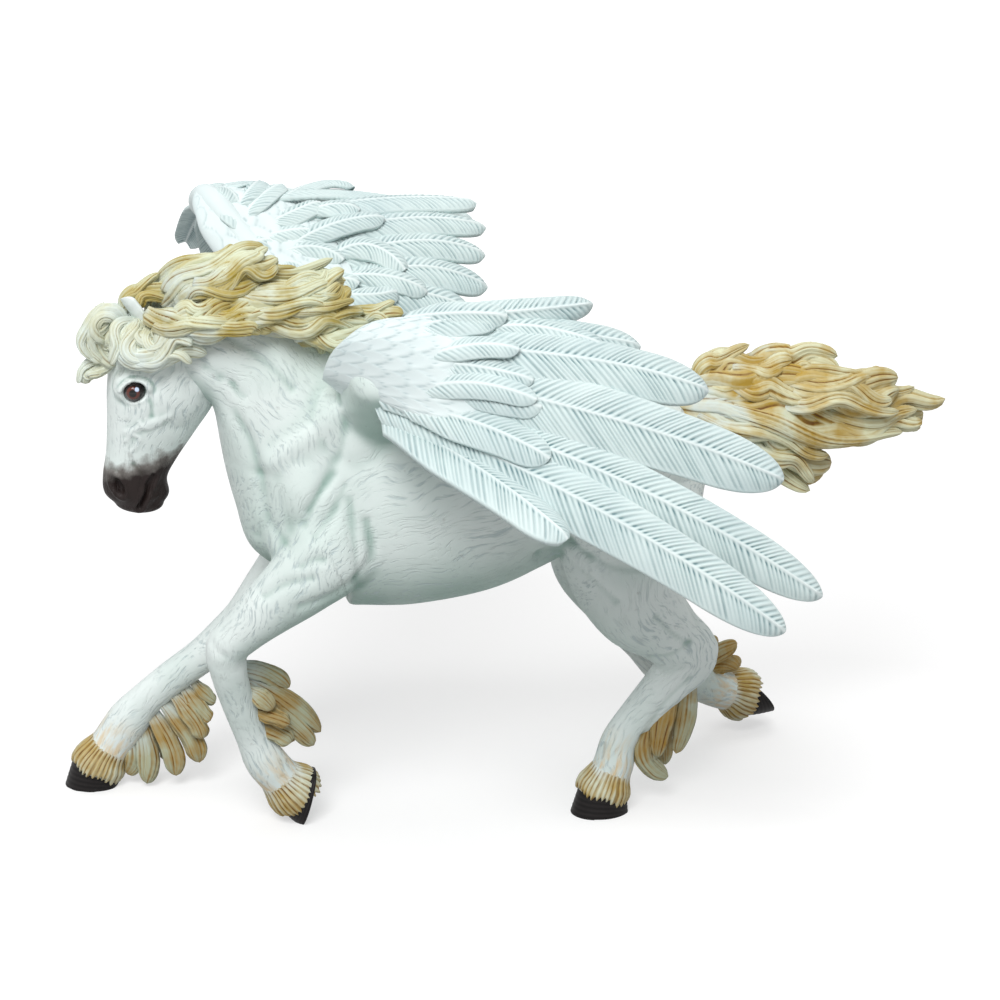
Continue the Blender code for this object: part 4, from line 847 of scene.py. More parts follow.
@dataclass
class Head:
    """The head, finer than the body, with its eyelids, nostrils and lips."""

    half_width: float = 9.0
    skin_step: float = 0.00034
    ease_rounds: int = 10
    ear_half_width: float = 2.4
    ear_thickness: float = 1.3
    socket_depth: float = 1.5
    lid_height: float = 0.42
    crease_depth: float = 0.25
    nostril_depth: float = 1.7
    flare_height: float = 0.45
    lip_height: float = 0.3
    mouth_depth: float = 0.8
    muzzle_slope: float = 0.22
    muzzle_range: tuple[float, float] = (-96.5, -87.0)

    def clay(self) -> Clay:
        """Gather the masses of the skull, cheeks and brows."""
        clay = Clay()
        lofted_between(clay, [row[:4] + (self.half_width * row[4], row[5]) for row in HEAD])
        for centre, sizes, lean in MUSCLES:
            if centre[0] < HEAD_X:
                mass(clay, centre, sizes, lean)
        return clay

    def strokes(self) -> list[Stroke]:
        """List the tool strokes of the face."""
        strokes = [Stroke(CHEEK_RIM, 1.6, -0.22), Stroke(FACE_VEINS[0], 0.8, 0.35)]
        strokes += [Stroke(line, 0.45, 0.22) for line in FACE_VEINS[1:]]
        strokes.append(Stroke(BELOW_EYE, 0.9, -0.35))
        strokes.append(Stroke(MOUTH_LINE, 0.42, -0.75))
        strokes.append(Stroke(CHIN_LINE, 0.7, -0.4))
        strokes.append(Stroke(BEHIND_NOSTRIL, 0.8, -0.35))
        strokes.append(Stroke(BROW, 0.9, 0.4))
        return strokes

    def features(self, points: Array, normals: Array) -> Array:
        """Press the eye sockets and nostrils and raise their rims.

        Args:
            points: Points on the drawing.
            normals: Their unit normals.

        Returns:
            How far each point moves along its normal.
        """
        side = smooth(np.abs(normals[:, 1]), 0.1, 0.4)
        dx, dz = points[:, 0] - EYE_X, points[:, 2] - EYE_Z
        lid = np.hypot((dx * 0.94 + dz * 0.34) / 1.12, (dz * 0.94 - dx * 0.34) / 0.9)
        socket = -self.socket_depth * smooth(-lid, -2.35, -1.9)
        rim = self.lid_height * np.exp(-((lid - 2.75) / 0.42) ** 2) * (1 + 0.5 * np.sign(dz))
        crease = -self.crease_depth * np.exp(-((lid - 3.7) / 0.4) ** 2) * smooth(dz, -1.0, 1.0)
        nx, nz = points[:, 0] - NOSTRIL[0], points[:, 2] - NOSTRIL[1]
        hole = np.hypot((nx * 0.92 + nz * 0.38) / 1.15, (nz * 0.92 - nx * 0.38) / 2.3)
        pit = -self.nostril_depth * smooth(-hole, -1.0, -0.45)
        flare = self.flare_height * np.exp(-((hole - 1.3) / 0.28) ** 2)
        start, end = np.array(MOUTH)
        reach = end - start
        place = points[:, ::2] - start
        way = np.clip((place @ reach) / (reach @ reach), 0, 1)
        gap = np.linalg.norm(place - way[:, None] * reach, axis=1)
        lips = self.lip_height * np.exp(-((gap - 1.1) / 0.5) ** 2)
        lips = lips - self.mouth_depth * np.exp(-(gap / 0.42) ** 2)
        return (socket + rim + crease + pit + flare + lips) * side

    def build(self) -> Piece:
        """Sculpt the head and paint its masks.

        Returns:
            The finished piece.
        """
        piece = self.clay().piece("head")
        fuse(piece, self.skin_step, self.ease_rounds)
        points, normals = read_points(piece.data)
        move = sum(stroke.press(points, normals) for stroke in self.strokes())
        points = points + normals * (move + self.features(points, normals))[:, None]
        write_points(piece.data, points)
        away, along, across = from_line(points[:, 0], points[:, 2], FACE_LINE)
        write_flow(piece.data, np.stack([along, across, points[:, 1]], axis=1))
        write_mask(piece.data, "limb", np.ones(len(points)))
        write_mask(piece.data, "recess", recesses(piece.data, rounds=10, depth=0.14))
        write_mask(piece.data, "gold", np.zeros(len(points)))
        # Painted shade: the head's surfaces that face down are marked, more weakly than the body's, for the
        # coat's darker grey-green.
        write_mask(piece.data, "shade", smooth(-normals[:, 2], 0.0, 0.9) * 0.6)
        drop = -points[:, 2] + self.muzzle_slope * (points[:, 0] + 82)
        write_mask(piece.data, "muzzle", smooth(drop, *self.muzzle_range))
        return piece

    def ears(self) -> Piece:
        """Build both ears as cupped leaves.

        Returns:
            The finished piece.
        """
        clay = Clay()
        for root, middle, tip in EARS:
            leaf = Feather(self.ear_half_width, self.ear_thickness, camber=0.9, pitch=2.0, depth=0.08,
                           shaft=0.0, slant=0.4, rows_per_barb=16)
            leaf.add(clay, root, middle, tip, (-1, -0.5, 0.2))
        piece = clay.piece("ears")
        write_mask(piece.data, "recess", recesses(piece.data, rounds=6, depth=0.2))
        return piece


@dataclass
class Eyes:
    """Two glossy eyeballs in their sockets."""

    radius: float = 2.35
    spacing: float = 14.2
    cornea: float = 0.14

    def build(self, side: Side) -> Piece:
        """Model one eyeball, its pole looking sideways.

        Args:
            side: Which side of the head it is on.

        Returns:
            The finished piece.
        """
        middle = np.array((EYE_X, side.value * self.spacing / 2, EYE_Z))
        place = Vector(middle) * MM + Vector(CENTRE_SHIFT)
        bpy.ops.object.select_all(action="DESELECT")
        bpy.ops.mesh.primitive_uv_sphere_add(segments=64, ring_count=48, radius=self.radius * MM,
                                             location=place, rotation=(-side.value * math.pi / 2, 0, 0))
        piece = bpy.context.object
        piece.name = f"{side.name.lower()}_eye"
        bpy.ops.object.transform_apply(location=True, rotation=True, scale=True)
        points, _ = read_points(piece.data)
        outward = unit(points - middle)
        turn = degrees_from(outward, (-0.22, side.value, 0.02))
        bulge = self.cornea * smooth(-turn, -46.0, -26.0)
        write_points(piece.data, points + outward * bulge[:, None])
        write_mask(piece.data, "gaze", turn)
        # Painted highlight: how far each point turns from a direction ahead of and above the gaze, where the
        # eye's paint puts a blue-white glint.
        write_mask(piece.data, "glint", degrees_from(outward, (0.18, 0.95 * side.value, 0.38)))
        bpy.ops.object.shade_smooth()
        return piece


@dataclass
class Hoof:
    """One hoof: a flared wall with growth rings over a hollowed sole."""

    coronet: Point
    sole: Point
    toe: Point
    top_half: float
    sole_half: float
    half_width: float = 5.8
    ring_depth: float = 0.03

    def build(self, name: str) -> Piece:
        """Model the hoof.

        Args:
            name: The piece's name.

        Returns:
            The finished piece.
        """
        coronet, sole = np.array(self.coronet, dtype=float), np.array(self.sole, dtype=float)
        axis = unit(sole - coronet)
        turn = np.linspace(0, 2 * math.pi, 96, endpoint=False)
        rings, shade = [], []
        for t in np.concatenate([np.linspace(0.0, 0.95, 40), (0.975, 0.992, 1.0)]):
            centre = coronet + (sole - coronet) * t
            forward = np.array(self.toe, dtype=float)
            forward = unit(forward - np.dot(forward, axis) * axis * (1 - t))
            across = unit(np.cross(axis, forward))
            length = self.top_half + (self.sole_half - self.top_half) * t
            wide = self.half_width * (0.88 + 0.12 * t)
            edge = 1.0 - 0.05 * max(0.0, (t - 0.95) / 0.05) ** 2
            ripple = self.ring_depth * np.sin(t * 46 + 1.6 * np.cos(turn) + 0.7 * np.sin(3 * turn))
            heel = 1.0 - 0.10 * smooth(-np.cos(turn), 0.75, 1.0)
            reach = (length * np.cos(turn) * heel)[:, None] * forward
            reach = reach + (wide * np.sin(turn))[:, None] * across
            rings.append(centre + reach * edge + unit(reach) * ripple[:, None])
            shade.append(0.5 + 0.5 * ripple / self.ring_depth)
        rim = rings[-1] - sole
        for share, lift in ((0.9, 0.0), (0.82, 0.35), (0.55, 0.55), (0.25, 0.6)):
            frog = 0.5 * np.exp(-(np.sin(turn) / 0.35) ** 2) * (np.cos(turn) < 0)
            rings.append(sole + rim * share - axis * (lift * (1 - frog))[:, None])
            shade.append(np.full(len(turn), 0.2))
        clay = Clay()
        clay.shell(np.array(rings), coronet, sole - axis * 0.6, ripple=np.array(shade))
        piece = clay.piece(name)
        bpy.ops.object.mode_set(mode="EDIT")
        bpy.ops.mesh.select_all(action="SELECT")
        bpy.ops.mesh.bisect(plane_co=(0, 0, 0), plane_no=(0, 0, 1), use_fill=True, clear_inner=True)
        bpy.ops.object.mode_set(mode="OBJECT")
        return piece


@dataclass
class Feather:
    """One moulded feather: two soft vanes beside a thin shaft, cut by slanted barbs.

    Its rings run along the barbs, as chevrons that open towards the tip, so that
    each groove lies on whole rings.
    """

    half_width: float
    thickness: float
    camber: float = 1.1
    pitch: float = 1.35
    slant: float = 0.95
    sweep: float = 0.03
    depth: float = 0.36
    shaft: float = 0.30
    leading: float = 0.86
    trailing: float = 1.1
    seed: float = 0.0
    rows_per_barb: int = 7
    shaft_width: float = 0.30
    valley_depth: float = 0.30
    valley_width: float = 1.1

    def outline(self, places: Array) -> Array:
        """Return the half width at shares of the length."""
        swell = 0.5 + 0.5 * smooth(places, 0.0, 0.42) - 0.14 * smooth(places, 0.5, 0.9)
        rounded = np.sqrt(np.clip(1 - ((places - 0.82) / 0.18) ** 2, 0, 1))
        return self.half_width * swell * np.where(places > 0.82, rounded, 1.0)

    def reach(self, way: Array, length: float, share: float) -> Array:
        """Find how far each barb runs before it meets the feather's edge.

        Args:
            way: Where each barb leaves the shaft.
            length: The feather's length.
            share: How wide this vane is for its half width.

        Returns:
            The distance from the shaft to the edge, for each barb.
        """
        low, high = np.zeros_like(way), np.full_like(way, self.half_width * 1.4)
        for _ in range(26):
            middle = (low + high) / 2
            place = np.clip((way + self.slant * middle + self.sweep * middle ** 2) / length, 0, 1)
            short = middle < share * self.outline(place)
            low, high = np.where(short, middle, low), np.where(short, high, middle)
        return low

    def add(self, clay: Clay, root: Point, middle: Point, tip: Point, face: Point) -> None:
        """Build the feather across a face direction.

        Args:
            clay: Where its shell goes.
            root: Where its shaft starts.
            middle: The point halfway along its shaft.
            tip: Where it ends.
            face: The direction that its upper side looks to.
        """
        line = arc(root, middle, tip, np.linspace(0, 1, 160))
        run = np.concatenate([[0.0], np.cumsum(np.linalg.norm(np.diff(line, axis=0), axis=1))])
        length = run[-1]
        count = int(length / self.pitch * self.rows_per_barb)
        way = length * (1 - (1 - np.linspace(0, 1, count, endpoint=False)) ** 1.05)
        edge = {-1: self.reach(way, length, self.leading), 1: self.reach(way, length, self.trailing)}
        along = tangents(line)
        across = unit(np.cross(along, np.array(face, dtype=float)))
        out = np.cross(across, along)

        upper = np.array((-1, -0.95, -0.86, -0.68, -0.48, -0.28, -0.14, -0.06, 0,
                          0.06, 0.14, 0.28, 0.48, 0.68, 0.86, 0.95, 1))
        lower = np.array((1, 0.86, 0.5, 0.14, 0, -0.14, -0.5, -0.86, -1))
        u = np.concatenate([upper, lower])[None, :]
        side = np.where(u > 0, 1.0, -1.0)
        top = np.concatenate([np.ones(len(upper)), -np.ones(len(lower))])[None, :]
        lateral = np.abs(u) * np.where(u > 0, edge[1][:, None], edge[-1][:, None])
        place = np.minimum(way[:, None] + self.slant * lateral + self.sweep * lateral ** 2, length)
        turns = way[:, None] / self.pitch + 0.45 * np.sin(way[:, None] * 0.37 + 2.1 * side + self.seed)
        barbs = (0.5 + 0.5 * np.cos(2 * math.pi * turns)) ** 1.5
        chance = np.random.default_rng(int(self.seed * 10) + 7).uniform(0.35, 1.0, (2, int(turns.max()) + 9))
        barb = np.rint(turns).astype(int) + 3
        share = np.abs(u)
        fading = 1 - (1 - chance[0, barb]) * smooth(share, 0.25, 0.9)
        barbs = barbs * np.where(side > 0, chance[0, barb], chance[1, barb]) ** 0.6 * fading
        barbs = barbs * smooth(lateral, 0.2, 0.75) * smooth(1 - share, -0.02, 0.12)
        quill = np.exp(-(lateral / self.shaft_width) ** 2)
        valley = self.valley_depth * np.exp(-(lateral / self.valley_width) ** 2)
        body = self.thickness / 2 * (1 - 0.5 * np.abs(u) ** 4)
        height = top * (body + self.shaft * quill - valley - self.depth * barbs) - self.camber * u ** 2
        height = height * smooth(length - way[:, None], -0.5, 2.5)

        def laid(table: Array) -> Array:
            """Read a row of the line's table at each point's place."""
            return np.stack([np.interp(place, run, table[:, k]) for k in range(3)], axis=-1)

        rings = laid(line) + laid(across) * (side * lateral)[..., None] + laid(out) * height[..., None]
        clay.shell(rings, line[0] - along[0] * 0.5, line[-1], groove=barbs, quill=quill)


@dataclass
class Wing:
    """One spread wing: primaries, coverts laid over them and its arm."""

    side: Side
    feathers: tuple
    covert_places: tuple
    tilt: float = 0.08
    primary_half_width: float = 6.2
    primary_thickness: float = 2.1
    covert_thickness: float = 1.7
    arm_radius: float = 3.4
    scale_columns: float = 11.0
    scale_step: float = 0.048

    @property
    def name(self) -> str:
        """The wing's name in its pieces."""
        return f"{self.side.name.lower()}_wing"

    def faces(self) -> Array:
        """Work out which way the wing looks at each of its feathers.

        Returns:
            One unit vector for each feather.
        """
        table = np.array([np.concatenate(row[:3]) for row in self.feathers], dtype=float)
        last = len(table) - 1
        steps = [table[min(i + 1, last), 3:6] - table[max(i - 1, 0), 3:6] for i in range(len(table))]
        return unit(np.cross(np.array(steps), table[:, 6:9] - table[:, 0:3])) * -self.side.value

    def primaries(self) -> list[Piece]:
        """Build the long feathers, half of them in each of two pieces.

        Returns:
            The finished pieces.
        """
        pieces = []
        count = len(self.feathers)
        faces = self.faces()
        for part, chosen in (("inner", range(0, count // 2 + 1)), ("outer", range(count // 2 + 1, count))):
            clay = Clay()
            for i in chosen:
                root, middle, tip, share = self.feathers[i]
                lean = unit(np.cross(np.subtract(tip, root), faces[i])) * -self.side.value
                shape = Feather(self.primary_half_width * share, self.primary_thickness, seed=1.7 * i)
                shape.add(clay, root, middle, tip, unit(faces[i] + self.tilt * lean))
            pieces.append(clay.piece(f"{self.name}_primaries_{part}"))
        return pieces

    def on_surface(self, fine: Array, across: float, along: float, rise: float) -> tuple[Array, Array]:
        """Find a place over the long feathers.

        Args:
            fine: The wing's table of feathers and faces, drawn fine.
            across: The share of the way over the wing, from feather to feather.
            along: The share of the way along a feather.
            rise: How high the place lies, in feather thicknesses.

        Returns:
            The place and the direction out of the wing there.
        """
        where = np.clip(across, 0, 1) * (len(fine) - 1)
        places = np.arange(len(fine))
        row = np.array([np.interp(where, places, column) for column in fine.T])
        face = unit(row[9:])
        point = arc(row[:3], row[3:6], row[6:9], np.array([along]))[0]
        return point + face * rise * self.primary_thickness * 0.55, face

    def coverts(self) -> list[Piece]:
        """Build the short feathers that lie over the roots of the long ones.

        Returns:
            The finished pieces, the larger feathers first.
        """
        fine = self.fine_table()
        half = (len(self.covert_places) + 1) // 2
        pieces = []
        for part, chosen in (("lower", self.covert_places[:half]), ("upper", self.covert_places[half:])):
            clay = Clay()
            for number, (u0, v0, u1, v1, u2, v2, half_width, rise) in enumerate(chosen):
                root, _ = self.on_surface(fine, u0, v0, rise * 0.8)
                middle, face = self.on_surface(fine, u1, v1, rise * 1.1)
                tip, _ = self.on_surface(fine, u2, v2, rise)
                soft = 1.0 if rise < 2.1 else 0.6
                shape = Feather(half_width, self.covert_thickness * soft, camber=0.8, pitch=1.2,
                                depth=0.30 * soft, shaft=0.22 * soft, seed=2.3 * number + half_width)
                shape.add(clay, root, middle, tip, face)
            pieces.append(clay.piece(f"{self.name}_coverts_{part}"))
        return pieces

    def fine_table(self) -> Array:
        """Return the wing's feathers and faces as one finely drawn table."""
        table = np.array([np.concatenate(row[:3]) for row in self.feathers], dtype=float)
        return spline(np.hstack([table, self.faces()]), 24)

    def scales(self, across: float, along: Array) -> Array:
        """Work out the relief of the small soft scales on the shoulder.

        Args:
            across: The share of the way over the wing.
            along: Shares along the feathers.

        Returns:
            How far each place is from its own scale's middle, from 0 to 1.
        """
        found = np.zeros_like(along)
        for row in range(8):
            column = across * self.scale_columns + 0.5 * (row % 2) + 0.15 * math.sin(2.3 * row)
            beside = (column - round(column)) / 0.62
            distance = np.hypot(beside, (along - (-0.14 + row * self.scale_step)) / (self.scale_step * 1.45))
            found = np.where((distance < 1) & (found == 0), distance, found)
        return found

    def shoulder(self) -> Piece:
        """Build the smooth pad that the feathers grow from, engraved with soft scales.

        Returns:
            The finished piece.
        """
        fine = self.fine_table()
        section = spline(SHOULDER_SECTION + SHOULDER_SECTION[:1], 9)[:-1]
        rings, grooves = [], []
        for across in np.linspace(0, 1, 150):
            fade = math.sqrt(max(0.1, 1 - max(0.0, (abs(2 * across - 1) - 0.8) / 0.2) ** 2))
            distance = self.scales(across, section[:, 0])
            upper = smooth(section[:, 1], 0.2, 1.4)
            relief = upper * (0.26 * distance ** 2 - 0.32 * smooth(distance, 0.88, 1.0))
            ring = []
            for (along, rise), lift in zip(section, relief):
                point, face = self.on_surface(fine, across, along, rise * fade)
                ring.append(point + face * lift)
            rings.append(ring)
            grooves.append(upper * smooth(distance, 0.80, 1.0) * 0.42)
        rings = np.array(rings)
        clay = Clay()
        clay.shell(rings, rings[0].mean(axis=0), rings[-1].mean(axis=0), groove=np.array(grooves),
                   quill=np.zeros(rings.shape[:2]))
        return clay.piece(f"{self.name}_shoulder")

    def arm(self) -> Piece:
        """Build the arm that carries the feather roots."""
        clay = Clay()
        lofted(clay, [tuple(row[0]) + (self.arm_radius, self.arm_radius) for row in self.feathers],
               side=(1, 0, 0.2), sides=32, steps=8)
        piece = clay.piece(f"{self.name}_arm")
        write_mask(piece.data, "groove", np.zeros(len(piece.data.vertices)))
        write_mask(piece.data, "quill", np.zeros(len(piece.data.vertices)))
        return piece

    def build(self) -> list[Piece]:
        """Build all the wing's pieces."""
        pieces = self.primaries() + self.coverts() + [self.shoulder()]
        if self.side is Side.FAR:
            pieces.append(self.arm())
        return pieces


@dataclass(frozen=True)
class Lock:
    """One lock of hair: a bundle of thick strands with blunt, curled ends."""

    half_width: float
    line: tuple
    seed: int
    flatness: float = 0.74
    sides: int = 62
    strands: int = 11
    twist: float = 0.9
    root: float = 0.72
    taper: float = 0.5
    blunt: float = 0.09
    groove_depth: float = 0.46
    groove_share: float = 0.22

    def add(self, clay: Clay) -> None:
        """Build the lock and two thinner ones that part from it.

        Args:
            clay: Where the shells go.
        """
        curve = spline(self.line, 12)
        chance = np.random.default_rng(self.seed)
        along = tangents(curve)
        across = unit(np.cross(along, (0, -0.9, 0.4)))
        out = np.cross(across, along)
        miles = np.cumsum(np.linalg.norm(np.gradient(curve, axis=0), axis=1))[:, None]
        sway = np.sin(2 * math.pi * miles / chance.uniform(13, 19) + chance.uniform(0, 6))
        calm = smooth(miles / miles[-1], 0.05, 0.3)
        self.bundle(clay, curve + across * 0.22 * self.half_width * sway * calm, self.half_width, 0.0)
        count = len(curve)
        for hand in (-1, 1):
            first = int(count * chance.uniform(0.05, 0.35))
            last = int(count * chance.uniform(0.86, 1.0))
            part = slice(first, last)
            t = np.linspace(0, 1, last - first)[:, None]
            spread = self.half_width * (0.38 + 0.3 * t + chance.uniform(0.1, 0.5) * t ** 4) * hand
            turns = t * chance.uniform(0.9, 1.5) + chance.uniform(0, 1)
            wave = self.half_width * 0.28 * np.sin(2 * math.pi * turns)
            rise = self.half_width * chance.uniform(0.3, 0.65)
            line = curve[part] + across[part] * (spread + wave)
            line = line + out[part] * rise * np.sin(math.pi * (0.15 + 0.7 * t))
            self.bundle(clay, line, self.half_width * chance.uniform(0.5, 0.66), chance.uniform(0, 6))

    def bundle(self, clay: Clay, curve: Array, half_width: float, turn: float) -> None:
        """Build one tapering bundle of strands along a curve.

        Args:
            clay: Where its shell goes.
            curve: The line that it follows.
            half_width: Its half width at its thickest.
            turn: Where its strands start round it.
        """
        along = tangents(curve)
        across = unit(np.cross(along, (0, -0.9, 0.4)))
        out = np.cross(across, along)
        t = np.linspace(0, 1, len(curve))[:, None]
        wide = half_width * (self.root + (1 - self.root) * smooth(t, 0.0, 0.45))
        wide = wide * (1 + 0.07 * np.sin(11 * t + self.seed))
        wide = wide * (1 - self.taper * np.clip((t - 0.5) / 0.5, 0, 1) ** 1.6)
        wide = wide * np.sqrt(np.clip(1 - np.clip((t - 1 + self.blunt) / self.blunt, 0, 1) ** 2, 0.01, 1))
        a = np.linspace(0, 2 * math.pi, self.sides, endpoint=False)[None, :]
        twist = a + turn + self.twist * (t + 0.5 * np.sin(5 * t + turn))
        lobes = 0.13 * np.cos(3 * twist + self.seed) + 0.06 * np.cos(5 * twist - 2 * t + turn)
        bend = 0.9 * np.sin(3 * twist + 3 * t + self.seed)
        strands = (0.5 + 0.5 * np.cos(self.strands * twist + bend)) ** 2.4
        strands = strands * (0.62 + 0.38 * np.sin(4 * twist + 3 * t + 2 * self.seed))
        fine = (0.5 + 0.5 * np.cos((2 * self.strands + 3) * twist + 1.5 * np.sin(2 * twist + 5 * t))) ** 3
        groove = np.clip(strands * 0.95 + fine * 0.4, 0, 1)
        radius = wide * (1 + lobes) - np.minimum(self.groove_depth, self.groove_share * wide) * groove
        rings = (curve[:, None] + across[:, None] * (radius * np.cos(a))[..., None]
                 + out[:, None] * (radius * self.flatness * np.sin(a))[..., None])
        start = curve[0] - along[0] * half_width * 0.3
        end = curve[-1] + along[-1] * half_width * 0.05
        clay.shell(rings, start, end, groove=groove, tip=np.broadcast_to(t, groove.shape))


@dataclass
class Hair:
    """A growth of locks, built in pieces of a few locks each."""

    name: str
    locks: tuple
    share: int = 6

    def build(self) -> list[Piece]:
        """Build all the locks.

        Returns:
            The finished pieces.
        """
        pieces = []
        for number, first in enumerate(range(0, len(self.locks), self.share)):
            clay = Clay()
            for i, row in enumerate(self.locks[first:first + self.share]):
                Lock(row[0], row[1:], seed=first + i + 1).add(clay)
            pieces.append(clay.piece(f"{self.name}_{number + 1}"))
        return pieces


@dataclass
class Feathering:
    """The long hair of the fetlocks and the short hair that hangs over each hoof."""

    pastern_half_width: float = 3.6
    fringe_strands: int = 30
    fringe_rows: int = 34
    overhang: float = 1.3
    hem: tuple = ((0.25, 1.15), (0.5, 1.2), (0.75, 1.15), (0.92, 0.95), (1.0, 0.55), (0.9, -0.1), (0.3, -0.8))

    def leaves(self) -> Piece:
        """Build the broad leaves of long hair behind the fetlocks."""
        clay = Clay()
        for number, (half_width, root, middle, tip) in enumerate(FEATHERING):
            curve = arc(root, middle, tip, np.linspace(0, 1, 36))
            shape = Lock(half_width, (), seed=number + 40, flatness=0.30, sides=66, strands=13, twist=0.25,
                         root=0.6, taper=0.2, blunt=0.22)
            shape.bundle(clay, curve, half_width, 0.4 * number)
        return clay.piece("fetlock_feathering")

    def skirt(self, clay: Clay, leg: tuple, coronet: Point, seed: int) -> None:
        """Build the short hair of one pastern, ragged where it ends over the hoof.

        Args:
            clay: Where its shell goes.
            leg: The leg's stations.
            coronet: The middle of the hoof's upper edge.
            seed: What its strands follow.
        """
        fine = spline(leg, 24)
        last = int(np.argmin(np.linalg.norm(fine[:, :3] - np.array(coronet), axis=1)))
        rows = fine[last - self.fringe_rows:last + 1]
        along = tangents(rows[:, :3])
        a = np.linspace(0, 2 * math.pi, 150, endpoint=False)
        phase = self.fringe_strands * a + 1.4 * np.sin(3 * a + seed) + 0.9 * np.sin(7 * a + 2 * seed)
        jag = self.overhang * (1 + 0.45 * np.cos(phase) + 0.35 * np.sin(5 * a + seed))
        rings, grooves, places = [], [], []

        def ring(row: Array, way: Array, share: float, grow: float, drop: float) -> None:
            """Add one ring round the pastern."""
            across = unit(np.array((0.0, 1.0, 0.0)) - way[1] * way)
            up = np.cross(way, across)
            strand = (0.5 + 0.5 * np.cos(phase + 1.5 * share)) ** 1.5
            fine_strand = (0.5 + 0.5 * np.cos(2.3 * phase + 4 * share + seed)) ** 2
            groove = np.clip(0.8 * strand + 0.4 * fine_strand, 0, 1)
            extra = grow - 0.34 * smooth(share, 0.1, 0.5) * groove
            wide, deep = row[4] * self.pastern_half_width + extra, row[3] + extra
            reach = np.cos(a)[:, None] * across * wide[:, None] + np.sin(a)[:, None] * up * deep[:, None]
            rings.append(row[:3] + reach + way * (drop * (1.1 + jag))[:, None])
            grooves.append(groove)
            places.append(np.full(len(a), 1.15 * share - 0.25))

        for number, (row, way) in enumerate(zip(rows, along)):
            share = number / (len(rows) - 1)
            ring(row, way, share, -0.25 + 1.35 * smooth(share, 0.0, 0.9), 0.0)
        for drop, grow in self.hem:
            ring(rows[-1], along[-1], 1.0, grow, drop)
        clay.shell(np.array(rings), rows[0, :3], rows[-1, :3], groove=np.array(grooves), tip=np.array(places))

    def fringe(self) -> Piece:
        """Build the short hair over all four hooves."""
        clay = Clay()
        for number, (leg, shape) in enumerate(zip((NEAR_HIND, FAR_FORE, NEAR_FORE, FAR_HIND), HOOVES)):
            self.skirt(clay, leg, shape[0], number + 1)
        return clay.piece("hoof_fringes")


class Tree:
    """A node tree that is written from left to right."""

    def __init__(self, tree: bpy.types.NodeTree) -> None:
        """Keep the tree that the nodes go into."""
        self.tree = tree

    def node(self, kind: str, **settings: object) -> bpy.types.Node:
        """Add a node.

        Args:
            kind: Its type, without the leading ShaderNode.
            **settings: Properties of the node, and values of its sockets by
                name, with underscores for spaces.

        Returns:
            The node.
        """
        node = self.tree.nodes.new("ShaderNode" + kind)
        for name, value in settings.items():
            socket = name.replace("_", " ")
            if hasattr(node, name):
                setattr(node, name, value)
            elif isinstance(value, Socket):
                self.tree.links.new(value, node.inputs[socket])
            else:
                node.inputs[socket].default_value = value
        return node

    def join(self, output: Socket, target: Socket) -> None:
        """Link one socket to another."""
        self.tree.links.new(output, target)

    def value(self, operation: str, first: object, second: object = 0.0, clamp: bool = False) -> Socket:
        """Do one sum on two values or sockets.

        Args:
            operation: The Math node's operation.
            first: The first value or socket.
            second: The second value or socket.
            clamp: Whether the result is held between 0 and 1.

        Returns:
            The result's socket.
        """
        node = self.tree.nodes.new("ShaderNodeMath")
        node.operation = operation
        node.use_clamp = clamp
        for socket, given in zip(node.inputs, (first, second)):
            if isinstance(given, Socket):
                self.tree.links.new(given, socket)
            else:
                socket.default_value = given
        return node.outputs[0]

    def mixed(self, share: object, first: object, second: object, blend: str = "MIX") -> Socket:
        """Mix two colours.

        Args:
            share: How much of the second colour shows.
            first: The first colour or socket.
            second: The second colour or socket.
            blend: The way in which they blend.

        Returns:
            The colour's socket.
        """
        node = self.tree.nodes.new("ShaderNodeMix")
        node.data_type = "RGBA"
        node.blend_type = blend
        for socket, given in ((node.inputs[0], share), (node.inputs[6], first), (node.inputs[7], second)):
            if isinstance(given, Socket):
                self.tree.links.new(given, socket)
            else:
                socket.default_value = given
        return node.outputs[2]

    def noise(self, place: Socket, scale: object, detail: float, roughness: float = 0.5) -> Socket:
        """Make soft noise, as a socket that lies about 0.5.

        Args:
            place: The point's place.
            scale: How fine it is, a value or a socket.
            detail: How many finer layers it has.
            roughness: How strong those layers are.

        Returns:
            The noise's socket.
        """
        noise = self.node("TexNoise", Vector=place, Scale=scale, Detail=detail, Roughness=roughness)
        return noise.outputs["Fac"]

    def ramp(self, value: Socket, low: float, high: float, start: float = 0.0, end: float = 1.0) -> Socket:
        """Map one range of a value to another and hold it there.

        Args:
            value: The value's socket.
            low: The value that gives the start.
            high: The value that gives the end.
            start: The result at the low value.
            end: The result at the high value.

        Returns:
            The result's socket.
        """
        ramp = self.node("MapRange", Value=value, From_Min=low, From_Max=high, To_Min=start, To_Max=end)
        return ramp.outputs["Result"]

    def place(self) -> Socket:
        """Read where a point lies on its piece."""
        return self.node("TexCoord").outputs["Object"]

    def seen(self) -> Socket:
        """Mark the rays that see a surface straight, in a gloss or through glass."""
        path = self.node("LightPath")
        seen = self.value("MAXIMUM", path.outputs["Is Camera Ray"], path.outputs["Is Glossy Ray"])
        return self.value("MAXIMUM", seen, path.outputs["Is Transmission Ray"])

    def mask(self, name: str) -> Socket:
        """Read one of a piece's painted masks."""
        return self.node("Attribute", attribute_name=name).outputs["Fac"]


